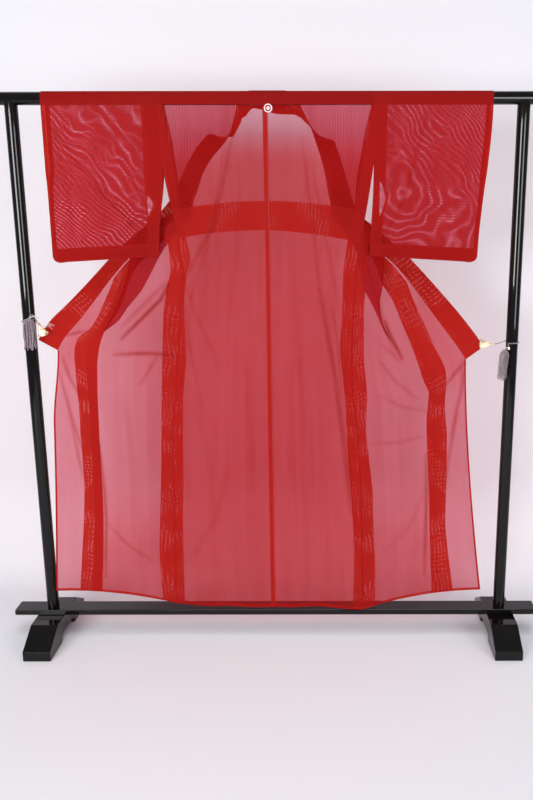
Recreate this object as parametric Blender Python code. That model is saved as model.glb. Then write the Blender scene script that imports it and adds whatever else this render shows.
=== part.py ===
"""Unlined sheer summer kimono hung over the round rail of a lacquered kimono stand.

The kimono's back faces -Y, its fronts hang behind the rail and are opened outward, and each collar
tip is tied to a post.  The rail runs along X at y = 0 and the floor is z = 0.  Metres.
"""
import bpy
import math
from mathutils import Vector

# Stand
RAIL_R = 0.0186
RAIL_Z = 1.6858
RAIL_HALF = 0.855
POST_R = 0.0186
POST_X = 0.738
BOARD_HALF_LENGTH = 0.855
BOARD_HALF_DEPTH = 0.0315
BOARD_THICK = 0.018
FOOT_TOP = 0.078
FOOT_WIDTH = 0.087
FOOT_HALF_LENGTH = 0.183
FOOT_FLAT_HALF = 0.097
FOOT_END_HEIGHT = 0.031
FOOT_ARCH_HALF = 0.070
FOOT_ARCH_HEIGHT = 0.028
FOOT_BEVEL = 0.0015

# Cloth walls and the cut, all finished sizes
LAYER = 0.001
SEAM_GAP = 0.0003
EDGE_INSET = 0.0010
SEAM_BEHIND = 0.0018
OKUMI_GAP = 0.0022
CLEAR = 0.0009
WRAP_R = RAIL_R + CLEAR + LAYER / 2
QUARTER = WRAP_R * math.pi / 2
LENGTH = 1.615
BACK_WIDTH = 0.3085
NECK_HALF = 0.09
FRONT_WIDTH = 0.24
OKUMI_WIDTH = 0.155
OKUMI_TOP = 0.23
COLLAR_END = 0.87
COLLAR_WIDTH = 0.055
COLLAR_WIDTH_TIP = 0.068
COLLAR_THICK = 0.0022
SLEEVE_WIDTH = 0.338
SLEEVE_DROP = 0.497
SLEEVE_JOIN = 0.22
CUFF_OPEN = 0.23
SLIT_END = 0.37
SIDE_ALLOWANCE = 0.036
HEM = 0.018
TUCK_TOP = 0.318
TUCK_BOTTOM = 0.402

LACQUER = ("lacquer_black", (0.012, 0.010, 0.010), 0.16, 0.0)
SILK = ("silk_red", (0.44, 0.018, 0.018), 0.72, 0.0)
GILT = ("gilt_brass", (0.78, 0.60, 0.30), 0.30, 1.0)
CORD = ("cord_mauve", (0.36, 0.27, 0.31), 0.80, 0.0)

# Stations down each side, measured from the photograph: (drop, distance from the centre)
SIDE_SEAM = {
    -1: ((0.0, 0.3085), (0.17, 0.3085), (0.255, 0.298), (0.33, 0.286), (0.43, 0.272), (0.51, 0.265),
         (0.56, 0.272), (0.60, 0.276), (0.72, 0.284), (0.91, 0.305), (1.04, 0.316), (1.24, 0.323),
         (1.615, 0.330)),
    1: ((0.0, 0.3085), (0.17, 0.3085), (0.26, 0.297), (0.33, 0.286), (0.48, 0.261), (0.60, 0.2526),
        (0.72, 0.2472), (0.85, 0.2479), (0.975, 0.2611), (1.10, 0.2712), (1.24, 0.2784), (1.615, 0.286)),
}
SIDE_DEPTH = {
    -1: ((0.0, 0.0), (0.37, 0.006), (0.9, 0.004), (1.615, -0.006)),
    1: ((0.0, 0.0), (0.37, 0.006), (0.9, 0.0), (1.3, -0.022), (1.615, -0.037)),
}
HEM_HEIGHT = {-1: 0.100, 1: 0.0985}
HEM_CENTRE = 0.104
# Collar seam: (length down the front edge, distance from the centre, drop, depth behind the rail)
COLLAR_SEAM = {
    -1: ((0.03, 0.090, 0.020, 0.0196), (0.13, 0.114, 0.112, 0.040), (0.22, 0.178, 0.190, 0.048),
         (0.38, 0.260, 0.325, 0.050), (0.58, 0.459, 0.498, 0.057), (0.76, 0.597, 0.664, 0.042),
         (0.83, 0.640, 0.715, 0.018), (0.87, 0.660, 0.752, 0.004)),
    1: ((0.03, 0.090, 0.020, 0.0196), (0.12, 0.124, 0.098, 0.040), (0.22, 0.160, 0.200, 0.048),
        (0.38, 0.212, 0.345, 0.050), (0.60, 0.392, 0.510, 0.060), (0.76, 0.510, 0.660, 0.044),
        (0.83, 0.572, 0.742, 0.020), (0.87, 0.600, 0.782, 0.004)),
}
FRONT_HEM = {-1: (0.716, 0.155, -0.026), 1: (0.676, 0.150, 0.004)}
FRONT_HEM_RISE = 0.75
# How far the upper front folds inboard of the straight line from side seam to collar seam
FOLD_IN = {-1: 0.030, 1: 0.050}
# The slack of each front lies in one pleat: (drop, distance from the centre) of its two turns
TURN_OUT = {
    -1: ((0.33, 0.370), (0.42, 0.405), (0.474, 0.4252), (0.525, 0.4372), (0.60, 0.4662), (0.648, 0.4906),
         (0.70, 0.5218)),
    1: ((0.33, 0.350), (0.486, 0.3432), (0.552, 0.3411), (0.61, 0.3328), (0.662, 0.3397),
        (0.709, 0.3588), (0.75, 0.3843), (0.781, 0.4035)),
}
TURN_IN = {
    -1: ((0.33, 0.222), (0.40, 0.282), (0.45, 0.3257), (0.534, 0.3755), (0.577, 0.4022), (0.626, 0.4449),
         (0.663, 0.4720), (0.70, 0.5204)),
    1: ((0.33, 0.165), (0.40, 0.225), (0.45, 0.258), (0.55, 0.2776), (0.578, 0.2886), (0.633, 0.3183),
        (0.679, 0.3437), (0.742, 0.3819), (0.78, 0.4013)),
}
# Seam between front and overlap panel: (drop, distance from the centre)
OKUMI_SEAM = {
    -1: ((0.33, 0.235), (0.40, 0.302), (0.45, 0.360), (0.498, 0.411), (0.535, 0.434), (0.60, 0.459),
         (0.648, 0.484), (0.701, 0.5218), (0.745, 0.5355), (0.79, 0.5416), (0.85, 0.5457), (0.92, 0.550),
         (1.108, 0.5590), (1.31, 0.5585), (1.45, 0.5617), (1.56, 0.5685)),
    1: ((0.33, 0.175), (0.40, 0.235), (0.45, 0.285), (0.486, 0.316), (0.554, 0.3422), (0.603, 0.3737),
        (0.664, 0.3995), (0.727, 0.4271), (0.79, 0.452), (0.854, 0.474), (0.896, 0.4915), (0.98, 0.489),
        (1.109, 0.495), (1.244, 0.5035), (1.45, 0.5109), (1.56, 0.5156)),
}
# The collar's free edge where it still hangs at the nape: (length, distance, drop, depth)
COLLAR_FREE = {
    -1: ((-0.082, 0.0, 0.0545, 0.0225), (-0.060, 0.022, 0.048, 0.0225), (-0.037, 0.042, 0.045, 0.0225),
         (-0.016, 0.054, 0.052, 0.0235), (0.0, 0.0645, 0.0656, 0.026), (0.03, 0.076, 0.079, 0.030),
         (0.06, 0.093, 0.097, 0.042), (0.10, 0.112, 0.113, 0.052)),
    1: ((-0.082, 0.0, 0.0545, 0.0225), (-0.060, 0.022, 0.060, 0.0225), (-0.037, 0.045, 0.062, 0.0225),
        (-0.016, 0.064, 0.062, 0.0235), (0.0, 0.0775, 0.0624, 0.026), (0.03, 0.098, 0.071, 0.030),
        (0.06, 0.116, 0.080, 0.042), (0.10, 0.127, 0.101, 0.052)),
}
SLEEVE_SWING = {-1: 0.020, 1: -0.010}


for old in list(bpy.data.objects):
    bpy.data.objects.remove(old, do_unlink=True)

root = bpy.data.objects.new("kimono_on_stand", None)
bpy.context.scene.collection.objects.link(root)


def material(spec):
    name, colour, roughness, metallic = spec
    found = bpy.data.materials.get(name)
    if found:
        return found
    mat = bpy.data.materials.new(name)
    mat.use_nodes = True
    shader = mat.node_tree.nodes["Principled BSDF"]
    shader.inputs["Base Color"].default_value = (*colour, 1.0)
    shader.inputs["Roughness"].default_value = roughness
    shader.inputs["Metallic"].default_value = metallic
    mat.diffuse_color = (*colour, 1.0)
    return mat


def volume(verts, faces):
    total = 0.0
    for face in faces:
        a = Vector(verts[face[0]])
        for i in range(1, len(face) - 1):
            total += a.dot(Vector(verts[face[i]]).cross(Vector(verts[face[i + 1]]))) / 6
    return total


def add(name, verts, faces, spec):
    mesh = bpy.data.meshes.new(name)
    if volume(verts, faces) < 0:
        faces = [tuple(reversed(f)) for f in faces]
    mesh.from_pydata([tuple(v) for v in verts], [], faces)
    mesh.validate()
    mesh.materials.append(material(spec))
    ob = bpy.data.objects.new(name, mesh)
    bpy.context.scene.collection.objects.link(ob)
    ob.parent = root
    return ob


def ease(value, low, high):
    """Smooth step from 0 at low to 1 at high."""
    f = min(1.0, max(0.0, (value - low) / (high - low)))
    return f * f * (3 - 2 * f)


def along(table, key, column=1):
    """Monotone cubic reading of a table of stations."""
    n = len(table)
    if key <= table[0][0]:
        return table[0][column]
    if key >= table[-1][0]:
        return table[-1][column]
    slopes = []
    for i in range(n - 1):
        slopes.append((table[i + 1][column] - table[i][column]) / (table[i + 1][0] - table[i][0]))
    tang = [slopes[0]]
    for i in range(1, n - 1):
        a, b = slopes[i - 1], slopes[i]
        tang.append(0.0 if a * b <= 0 else 2 * a * b / (a + b))
    tang.append(slopes[-1])
    for i in range(n - 1):
        if key <= table[i + 1][0]:
            h = table[i + 1][0] - table[i][0]
            f = (key - table[i][0]) / h
            p, q = table[i][column], table[i + 1][column]
            return ((2 * f ** 3 - 3 * f ** 2 + 1) * p + (f ** 3 - 2 * f ** 2 + f) * h * tang[i]
                    + (3 * f ** 2 - 2 * f ** 3) * q + (f ** 3 - f ** 2) * h * tang[i + 1])


def hang(v, side, radius=WRAP_R):
    """A point v metres down the cloth from the rail's top: side -1 toward the camera, 1 behind."""
    quarter = radius * math.pi / 2
    if v < quarter:
        a = v / radius
        return side * radius * math.sin(a), RAIL_Z + radius * math.cos(a)
    return side * radius, RAIL_Z - (v - quarter)


def wall(name, points, faces, thick, spec):
    """A closed wall of the given thickness about a sheet of points; thick is one value per point."""
    faces = [tri for f in faces for tri in ((f[0], f[1], f[2]), (f[0], f[2], f[3]))]
    normals = [Vector((0, 0, 0)) for _ in points]
    for face in faces:
        a, b, c = (points[i] for i in face)
        n = (b - a).cross(c - a).normalized()
        for i, corner in zip(face, ((b - a, c - a), (c - b, a - b), (a - c, b - c))):
            normals[i] += n * corner[0].angle(corner[1])
    count = len(points)
    verts = []
    for sign in (1, -1):
        for p, n, t in zip(points, normals, thick):
            verts.append(p + n.normalized() * (sign * t / 2))
    solid = [tuple(f) for f in faces]
    solid += [tuple(i + count for i in reversed(f)) for f in faces]
    edges = {}
    for face in faces:
        for i, a in enumerate(face):
            b = face[(i + 1) % len(face)]
            edges[(a, b)] = True
    for a, b in edges:
        if (b, a) not in edges:
            solid.append((b, a, a + count, b + count))
    return add(name, verts, solid, spec)


# Kimono body: each half is one strip from the back hem, over the rail, to the front hem.
# It is one cloth in the real garment, and two solids here that meet on top of the rail.
def row_height(v, side, c):
    """Height of the side strip v metres from the rail's top, at fraction c from centre to side."""
    z_end = HEM_CENTRE + (HEM_HEIGHT[side] - HEM_CENTRE) * c * c
    plain = RAIL_Z - (LENGTH - QUARTER)
    return ease(v, 0.3, LENGTH) * (z_end - plain)


def back_point(side, c, v):
    x_side = along(SIDE_SEAM[side], v) - EDGE_INSET
    x = SEAM_GAP / 2 + c * (x_side - SEAM_GAP / 2)
    y, z = hang(v, -1)
    edge = ease(c, 0.55, 1.0) * ease(v, SLEEVE_JOIN, SLIT_END)
    y_side = along(SIDE_DEPTH[side], v)
    wave = 0.0
    if v > 0.1:
        grow = ease(v, 0.1, 1.0)
        wave = 0.006 * grow * math.sin(2 * math.pi * (1.5 * c + 0.35 * v)) * (1 - c * c) * ease(c, 0, 0.3)
    slack = 0.010 * ease(v, 0.25, 1.2) * (1 - c * c)
    y = y + (y_side - y) * edge + wave - slack
    return Vector((side * x, y, z + row_height(v, side, c)))


def side_front(side, v):
    """Side edge of the front at v."""
    y, z = hang(v, 1)
    f = ease(v, SLEEVE_JOIN, SLIT_END)
    y = y + (along(SIDE_DEPTH[side], v) + SEAM_BEHIND - y) * f
    x = along(SIDE_SEAM[side], v) + EDGE_INSET * (2 * ease(v, SLEEVE_JOIN, SLIT_END) - 1)
    return Vector((side * x, y, z + row_height(v, side, 1.0)))


def seam_front(side, v):
    """Collar seam, then the free front edge, at v."""
    if v <= 0.03:
        y, z = hang(v, 1)
        return Vector((side * NECK_HALF, y, z))
    if v <= COLLAR_END:
        x = along(COLLAR_SEAM[side], v, 1)
        s = along(COLLAR_SEAM[side], v, 2)
        y = along(COLLAR_SEAM[side], v, 3)
        return Vector((side * x, y, RAIL_Z + WRAP_R - s))
    top = seam_front(side, COLLAR_END)
    f = (v - COLLAR_END) / (LENGTH - COLLAR_END)
    x_end, z_end, y_end = FRONT_HEM[side]
    bulge = 0.012 * math.sin(math.pi * f)
    reach = 0.35 * ease(f, 0, 0.3) + 0.65 * f if side < 0 else f ** 1.35
    x = abs(top.x) + (x_end - abs(top.x)) * reach
    return Vector((side * x, top.y + (y_end - top.y) * f + bulge, top.z + (z_end - top.z) * f))


def cut_width(v):
    """Finished width of front and overlap together at v."""
    if v < OKUMI_TOP:
        return (BACK_WIDTH - NECK_HALF) + (FRONT_WIDTH - BACK_WIDTH + NECK_HALF) * v / OKUMI_TOP
    if v < COLLAR_END:
        return FRONT_WIDTH + OKUMI_WIDTH * (v - OKUMI_TOP) / (COLLAR_END - OKUMI_TOP)
    return FRONT_WIDTH + OKUMI_WIDTH


def drop_at(point):
    return RAIL_Z + WRAP_R - point.z


def row_turns(side, v):
    """Where a front row turns: (length, distance) of the pleat's outer turn, inner turn and the seam."""
    width = max(cut_width(v), FRONT_WIDTH)
    high = drop_at(side_front(side, v))
    low = drop_at(seam_front(side, v))
    x_side = abs(side_front(side, v).x)
    u_out = 0.5 * FRONT_WIDTH
    u_in = 0.75 * FRONT_WIDTH
    for _ in range(5):
        x_seam = along(OKUMI_SEAM[side], high + (low - high) * FRONT_WIDTH / width)
        x_out = max(x_side + 0.01, along(TURN_OUT[side], high + (low - high) * u_out / width))
        x_in = min(x_out, along(TURN_IN[side], high + (low - high) * u_in / width))
        first = x_out - x_side
        total = first + (x_out - x_in) + abs(x_seam - x_in)
        u_out = FRONT_WIDTH * first / total
        u_in = FRONT_WIDTH * (first + x_out - x_in) / total
    return (u_out, x_out), (u_in, x_in), (FRONT_WIDTH, x_seam)


def row_shape(side, v, size, u):
    """One point of a front row, u metres of cloth from the side seam; size is the belly of its slack."""
    a = side_front(side, v)
    b = seam_front(side, v)
    width = cut_width(v)
    t = u / width
    lift = a.z + (b.z - a.z) * (t + (t * t - t) * -FRONT_HEM_RISE * ease(v, 0.9, LENGTH))
    plain_x = abs(a.x) + (abs(b.x) - abs(a.x)) * t
    plain_x -= FOLD_IN[side] * ease(v, 0.02, 0.10) * math.sin(math.pi * t)
    spread_y = ease(v, 0.04, 0.1) * (1 - ease(v, 0.30, 0.42))
    plain_y = a.y + (b.y - a.y) * (t + 0.85 * spread_y * math.sin(4 * math.pi * t) / (4 * math.pi))
    turn = ease(v, 0.30, 0.42)
    if turn == 0.0:
        return Vector((side * plain_x, plain_y, lift))
    out, back_in, seam = row_turns(side, v)
    folded = min(1.0, (out[1] - back_in[1]) / 0.03) * (1 - ease(v, 0.90, 1.0))
    keys = [(0.0, abs(a.x)), seam, (width, abs(b.x))]
    if folded > 0.12 and back_in[0] < FRONT_WIDTH - 0.002:
        keys = [(0.0, abs(a.x)), out, back_in, seam, (width, abs(b.x))]
    x = along(keys, u)
    depth = b.y - a.y
    y = a.y + depth * t
    if folded > 0.12:
        h = max(0.001, min(0.008, 0.3 * (back_in[0] - out[0])))
        steps = [(0.0, 0.0), (out[0] - h, 0.10), (out[0] + h, 0.40), (back_in[0] - h, 0.45),
                 (back_in[0] + h, 0.75), (width, 1.0)]
        y += (a.y + depth * along(steps, u) - y) * folded
    y += 0.7 * size * ease(v, 0.72, 1.05) * math.sin(math.pi * t)
    return Vector((side * (plain_x + (x - plain_x) * turn), plain_y + (y - plain_y) * turn, lift))


def row_size(side, v):
    """Belly that keeps the lower rows as long as the cut."""
    if v < 0.72:
        return 0.0
    target = cut_width(v) * (0.985 - 0.10 * (1 - ease(v, 0.85, 1.1)))
    low, high = 0.0, 0.05
    for _ in range(14):
        mid = (low + high) / 2
        pts = [row_shape(side, v, mid, cut_width(v) * i / 24) for i in range(25)]
        length = sum((pts[i + 1] - pts[i]).length for i in range(24))
        if length < target:
            low = mid
        else:
            high = mid
    return low


BACK_COLUMNS = (0.0, 0.042, 0.10, 0.195, 0.29, 0.37, 0.45, 0.53, 0.61, 0.69, 0.77, 0.865, 0.90, 1.0)
BACK_ROWS = [LENGTH, LENGTH - HEM, LENGTH - HEM - 0.006]
BACK_ROWS += [LENGTH - HEM - 0.006 - i * (LENGTH - HEM - 0.006 - TUCK_BOTTOM - 0.006) / 10 for i in range(1, 11)]
BACK_ROWS += [TUCK_BOTTOM, SLIT_END, TUCK_TOP, TUCK_TOP - 0.006, 0.26, SLEEVE_JOIN, 0.16, 0.10, 0.06]
OVER_RAIL = [QUARTER * f for f in (1.0, 0.75, 0.5, 0.25)] + [SEAM_GAP / 2]
FRONT_ROWS = [0.05, 0.08, 0.11, 0.14, 0.17, 0.20, OKUMI_TOP, 0.26, 0.29, 0.32, 0.345, SLIT_END,
              0.395, 0.42, 0.45, 0.48, 0.52, 0.56, 0.61, 0.67, 0.73, 0.79, 0.83, COLLAR_END]
FRONT_ROWS += [COLLAR_END + i * (LENGTH - HEM - 0.006 - COLLAR_END) / 6 for i in range(1, 7)]
FRONT_ROWS += [LENGTH - HEM, LENGTH]


def strip(name, rows, flip):
    """A wall from rows of (point, thickness) pairs."""
    columns = len(rows[0])
    faces = []
    for j in range(len(rows) - 1):
        for i in range(columns - 1):
            quad = [j * columns + i, j * columns + i + 1, (j + 1) * columns + i + 1, (j + 1) * columns + i]
            if flip:
                quad.reverse()
            faces.append(quad)
    points = [p for row in rows for p, _ in row]
    thick = [t for row in rows for _, t in row]
    return wall(name, points, faces, thick, SILK)


def back(side, name):
    """Half of the back, from its hem up to the fold of the shoulder on top of the rail."""
    rows = []
    for v in BACK_ROWS + OVER_RAIL:
        row = []
        for c in BACK_COLUMNS:
            layers = 1.0
            if 0.88 < c < 1.0 and v > SLIT_END - 0.02:
                layers = 2.0
            if c < 0.06 and v > 0.05:
                layers = 2.0
            if TUCK_TOP - 0.001 < v < TUCK_BOTTOM + 0.001 and c < 1.0:
                layers = 3.0
            if v > LENGTH - HEM - 0.001:
                layers = max(layers, 2.0)
            row.append((back_point(side, c, v), layers * LAYER))
        rows.append(row)
    return strip(name, rows, side > 0)


def front(side, name):
    """One front, from the fold of the shoulder down to its hem, without the overlap panel."""
    rows = []
    for v in list(reversed(OVER_RAIL)) + FRONT_ROWS:
        size = row_size(side, v)
        width = cut_width(v)
        seam = min(FRONT_WIDTH, width) - OKUMI_GAP / 2
        inner = SIDE_ALLOWANCE + 0.006
        even = [inner + (seam - inner) * k / 10 for k in range(1, 11)]
        if 0.30 < v < 0.90:
            (u_out, x_out), (u_in, x_in), _ = row_turns(side, v)
            h = max(0.001, min(0.008, 0.3 * (u_in - u_out)))
            near = [(inner + u_out - h) / 2, u_out - h, u_out, u_out + h, (u_out + u_in) / 2, u_in - h, u_in,
                    u_in + h, (u_in + h + seam) / 2, seam]
            share = min(1.0, max(0.0, (x_out - x_in - 0.004) / 0.03)) * ease(v, 0.30, 0.42)
            even = [a + (b - a) * share for a, b in zip(even, near)]
        row = []
        for u in [0.0, SIDE_ALLOWANCE, inner] + even:
            layers = 1.0
            if 0.0 < u < inner and v > SLIT_END - 0.02:
                layers = 2.0
            if v > LENGTH - HEM - 0.001:
                layers = max(layers, 2.0)
            row.append((row_shape(side, v, size, u), layers * LAYER))
        rows.append(row)
    return strip(name, rows, side < 0)


def okumi(side, name):
    columns = (0.0, 0.38, 0.43, 0.72, 1.0)
    points = []
    thick = []
    vs = [v for v in FRONT_ROWS if v > OKUMI_TOP]
    for v in vs:
        size = row_size(side, v)
        width = cut_width(v)
        for f in columns:
            u = FRONT_WIDTH + OKUMI_GAP / 2 + f * (width - FRONT_WIDTH - OKUMI_GAP / 2)
            layers = 2.0 if (f < 0.4 and v > 0.75) or v > LENGTH - HEM - 0.001 else 1.0
            points.append(row_shape(side, v, size, u))
            thick.append(layers * LAYER)
    n = len(columns)
    faces = []
    for j in range(len(vs) - 1):
        for i in range(n - 1):
            quad = [j * n + i, (j + 1) * n + i, (j + 1) * n + i + 1, j * n + i + 1]
            if side < 0:
                quad.reverse()
            faces.append(quad)
    return wall(name, points, faces, thick, SILK)


def sleeve(side, name):
    columns = (0.0, 0.10, 0.13, 0.32, 0.52, 0.72, 0.90, 1.0)
    down = [SLEEVE_DROP, SLEEVE_DROP - 0.015, SLEEVE_DROP - 0.04, 0.40, SLIT_END, 0.32, 0.27, CUFF_OPEN,
            SLEEVE_JOIN, 0.17, 0.12, 0.07, QUARTER]
    arc = [QUARTER * f for f in (0.75, 0.5, 0.25, 0.0)]
    loop = [(-1, v) for v in down + arc] + [(1, v) for v in reversed(down + arc[:-1])]
    n = len(columns)
    points = []
    for s, v in loop:
        for f in columns:
            x = BACK_WIDTH + SEAM_GAP + f * SLEEVE_WIDTH
            if side > 0:
                x -= 0.028 * f * ease(v, 0.05, SLEEVE_DROP)
            x += SLEEVE_SWING[side] * (1 - f) * ease(v, SLEEVE_JOIN, SLEEVE_DROP)
            y, z = hang(v, s)
            drop = ease(v, SLEEVE_JOIN, SLIT_END)
            if s > 0:
                y = y + (-0.006 - y) * drop
            else:
                y = y + (-0.016 - y) * drop
            tip = ease(v, SLEEVE_DROP - 0.03, SLEEVE_DROP)
            y = y + (-0.0105 - y) * tip * 0.55
            mid = -0.0105
            close = ease(f, 0.72, 1.0) * ease(v, CUFF_OPEN, CUFF_OPEN + 0.05)
            y = y + (mid - y) * close * 0.5
            z += 0.019 * ease(v, 0.2, SLEEVE_DROP) * (1 - f)
            if f == 1.0 and v > SLEEVE_DROP - 0.005:
                z += 0.010
                x -= 0.004
            points.append(Vector((side * x, y, z)))
    rows = len(loop)
    faces = []
    for j in range(rows):
        k = (j + 1) % rows
        for i in range(n - 1):
            quad = [j * n + i, j * n + i + 1, k * n + i + 1, k * n + i]
            if side > 0:
                quad.reverse()
            faces.append(quad)
    # the outer edge is sewn shut below the cuff opening
    edge = n - 1
    closed = [j for j, (s, v) in enumerate(loop) if s < 0 and v >= CUFF_OPEN - 1e-6]
    for j in closed[:-1]:
        m0 = rows - 1 - j
        m1 = rows - 2 - j
        quad = [j * n + edge, m0 * n + edge, m1 * n + edge, (j + 1) * n + edge]
        if side > 0:
            quad.reverse()
        faces.append(quad)
    return wall(name, points, faces, [LAYER] * len(points), SILK)


def collar_point(side, v, f):
    """A point of the collar beside its seam at v, at fraction f of its width."""
    base = seam_front(side, v)
    ahead = seam_front(side, min(v + 0.01, COLLAR_END))
    behind = seam_front(side, max(v - 0.01, 0.03))
    t = (ahead - behind).normalized()
    out = Vector((side * -t.z, 0, side * t.x)).normalized()
    w = COLLAR_WIDTH + (COLLAR_WIDTH_TIP - COLLAR_WIDTH) * ease(v, 0.3, COLLAR_END)
    tilt = 0.12 + 0.55 * ease(v, 0.25, 0.5) * (1 - ease(v, 0.6, 0.86))
    outward = out * math.cos(tilt) + Vector((0, 1, 0)) * math.sin(tilt)
    turn = ease(v, 0.08, 0.18)
    if turn < 1.0:
        key = min(v, 0.10)
        free = Vector((side * along(COLLAR_FREE[side], key, 1), along(COLLAR_FREE[side], key, 3),
                       RAIL_Z + WRAP_R - along(COLLAR_FREE[side], key, 2)))
        hanging = (free - seam_front(side, key)).normalized()
        roll = Vector((0, 1, 0)) * 1.1 * math.sin(math.pi * turn)
        outward = (hanging * (1 - turn) + outward * turn + roll).normalized()
    aside = Vector((-side, 0, 0)) * 0.0018 * (1 - ease(v, 0.03, 0.12))
    return base + aside + outward * (SEAM_GAP + 0.0010 + w * f)


def collar(name):
    """One long folded band: behind the rail at the neck, then turned outward along both fronts."""
    across = (0.0, 0.10, 0.22, 0.34, 0.46, 0.58, 0.76, 1.0)
    stations = []
    vs = [0.03, 0.045, 0.06, 0.08, 0.10, 0.12, 0.145, 0.17, 0.20, 0.24, 0.29, 0.34, 0.39, 0.44, 0.50,
          0.56, 0.62, 0.68, 0.74, 0.79, 0.83, COLLAR_END]
    for v in reversed(vs):
        stations.append((-1, "seam", v))
    for x in (0.082, 0.066, 0.045, 0.022):
        stations.append((-1, "neck", x))
    stations.append((0, "neck", 0.0))
    for x in (0.022, 0.045, 0.066, 0.082):
        stations.append((1, "neck", x))
    for v in vs:
        stations.append((1, "seam", v))
    points = []
    thick = []
    radius = RAIL_R + CLEAR + 0.0008 + COLLAR_THICK / 2
    for side, kind, key in stations:
        for f in across:
            if kind == "neck":
                free = (1 if side == 0 else side, key - 0.082)
                x_free = along(COLLAR_FREE[free[0]], free[1], 1)
                reach = along(COLLAR_FREE[free[0]], free[1], 2) + radius * math.pi / 2 - WRAP_R
                start = 0.024 * ease(key, 0.045, 0.09) + SEAM_GAP + 0.0003
                y, z = hang(start + (reach - start) * f, 1, radius)
                y += 0.003 * f * ease(key, 0.045, 0.082)
                point = Vector((side * (key + (x_free - key) * f), y, z))
            else:
                point = collar_point(side, key, f)
            points.append(point)
            thick.append(LAYER if f == 0.0 else COLLAR_THICK)
    n = len(across)
    faces = []
    for j in range(len(stations) - 1):
        for i in range(n - 1):
            faces.append([j * n + i, (j + 1) * n + i, (j + 1) * n + i + 1, j * n + i + 1])
    return wall(name, points, faces, thick, SILK)


back(-1, "back_left")
back(1, "back_right")
front(-1, "front_left")
front(1, "front_right")
okumi(-1, "okumi_left")
okumi(1, "okumi_right")
sleeve(-1, "sleeve_left")
sleeve(1, "sleeve_right")
collar("collar")


# Stand
def turned(name, stations, spec, sides=32):
    """A round solid along X from (x, radius) stations."""
    verts = []
    for x, r in stations:
        for k in range(sides):
            a = 2 * math.pi * k / sides
            verts.append((x, r * math.cos(a), r * math.sin(a)))
    faces = []
    for j in range(len(stations) - 1):
        for k in range(sides):
            m = (k + 1) % sides
            faces.append((j * sides + k, (j + 1) * sides + k, (j + 1) * sides + m, j * sides + m))
    faces.append(tuple(range(sides)))
    last = (len(stations) - 1) * sides
    faces.append(tuple(last + k for k in reversed(range(sides))))
    return add(name, verts, faces, spec)


rail = turned("rail", ((-RAIL_HALF, RAIL_R - 0.004), (-RAIL_HALF + 0.004, RAIL_R),
                       (RAIL_HALF - 0.004, RAIL_R), (RAIL_HALF, RAIL_R - 0.004)), LACQUER)
rail.location = (0, 0, RAIL_Z)


def post(side, name):
    """A round post whose top is hollowed to sit under the rail."""
    sides = 32
    bottom = FOOT_TOP + BOARD_THICK + 2 * SEAM_GAP
    verts = []
    for k in range(sides):
        a = 2 * math.pi * k / sides
        verts.append((POST_R * math.cos(a), POST_R * math.sin(a), bottom))
    for k in range(sides):
        a = 2 * math.pi * k / sides
        y = POST_R * math.sin(a)
        reach = RAIL_R + SEAM_GAP
        top = RAIL_Z - math.sqrt(max(reach * reach - y * y, 0.0))
        verts.append((POST_R * math.cos(a), y, top))
    rim = 2 * sides
    for k in range(sides):
        y = POST_R * math.sin(2 * math.pi * k / sides)
        reach = RAIL_R + SEAM_GAP
        verts.append((0, y, RAIL_Z - math.sqrt(max(reach * reach - y * y, 0.0))))
    faces = [tuple(reversed(range(sides)))]
    for k in range(sides):
        m = (k + 1) % sides
        faces.append((k, m, sides + m, sides + k))
    del verts[rim:]
    half = sides // 2
    for k in range(half // 2):
        lo = k
        a, b = sides + lo, sides + lo + 1
        c, d = sides + half - lo - 1, sides + half - lo
        if b == c:
            faces.append((a, b, d))
        else:
            faces.append((a, b, c, d))
        a2, b2 = sides + (sides - lo) % sides, sides + sides - lo - 1
        c2, d2 = sides + half + lo + 1, sides + half + lo
        if b2 == c2:
            faces.append((b2, a2, d2))
        else:
            faces.append((b2, a2, d2, c2))
    ob = add(name, verts, faces, LACQUER)
    ob.location = (side * POST_X, 0, 0)
    return ob


post(-1, "post_left")
post(1, "post_right")


def prism(name, outline, half, spec, bevel):
    """A solid of an outline in (y, z) with bevelled long edges, centred on x = 0."""
    n = len(outline)
    cy = sum(p[0] for p in outline) / n
    cz = sum(p[1] for p in outline) / n
    verts = []
    for x, inset in ((-half, bevel), (-half + bevel, 0.0), (half - bevel, 0.0), (half, bevel)):
        for y, z in outline:
            sy = (1 if y > cy else -1) * inset
            sz = (1 if z > cz else -1) * inset
            verts.append((x, y - sy, z - sz))
    faces = [tuple(reversed(range(n)))]
    for j in range(3):
        for k in range(n):
            m = (k + 1) % n
            faces.append((j * n + k, j * n + m, (j + 1) * n + m, (j + 1) * n + k))
    faces.append(tuple(3 * n + k for k in range(n)))
    return add(name, verts, faces, spec)


def foot_outline():
    """Bridge foot in (y, z), counter-clockwise seen from +X."""
    pts = [(-FOOT_HALF_LENGTH, 0.0), (-FOOT_ARCH_HALF, 0.0)]
    steps = 6
    for k in range(1, steps):
        f = k / steps
        y = -FOOT_ARCH_HALF * math.cos(math.pi * f)
        pts.append((y, FOOT_ARCH_HEIGHT * min(1.0, 1.6 * math.sin(math.pi * f))))
    pts += [(FOOT_ARCH_HALF, 0.0), (FOOT_HALF_LENGTH, 0.0), (FOOT_HALF_LENGTH, FOOT_END_HEIGHT),
            (FOOT_FLAT_HALF, FOOT_TOP), (-FOOT_FLAT_HALF, FOOT_TOP), (-FOOT_HALF_LENGTH, FOOT_END_HEIGHT)]
    return pts


for side, name in ((-1, "foot_left"), (1, "foot_right")):
    foot = prism(name, foot_outline(), FOOT_WIDTH / 2, LACQUER, FOOT_BEVEL)
    foot.location = (side * POST_X, 0, 0)

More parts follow.
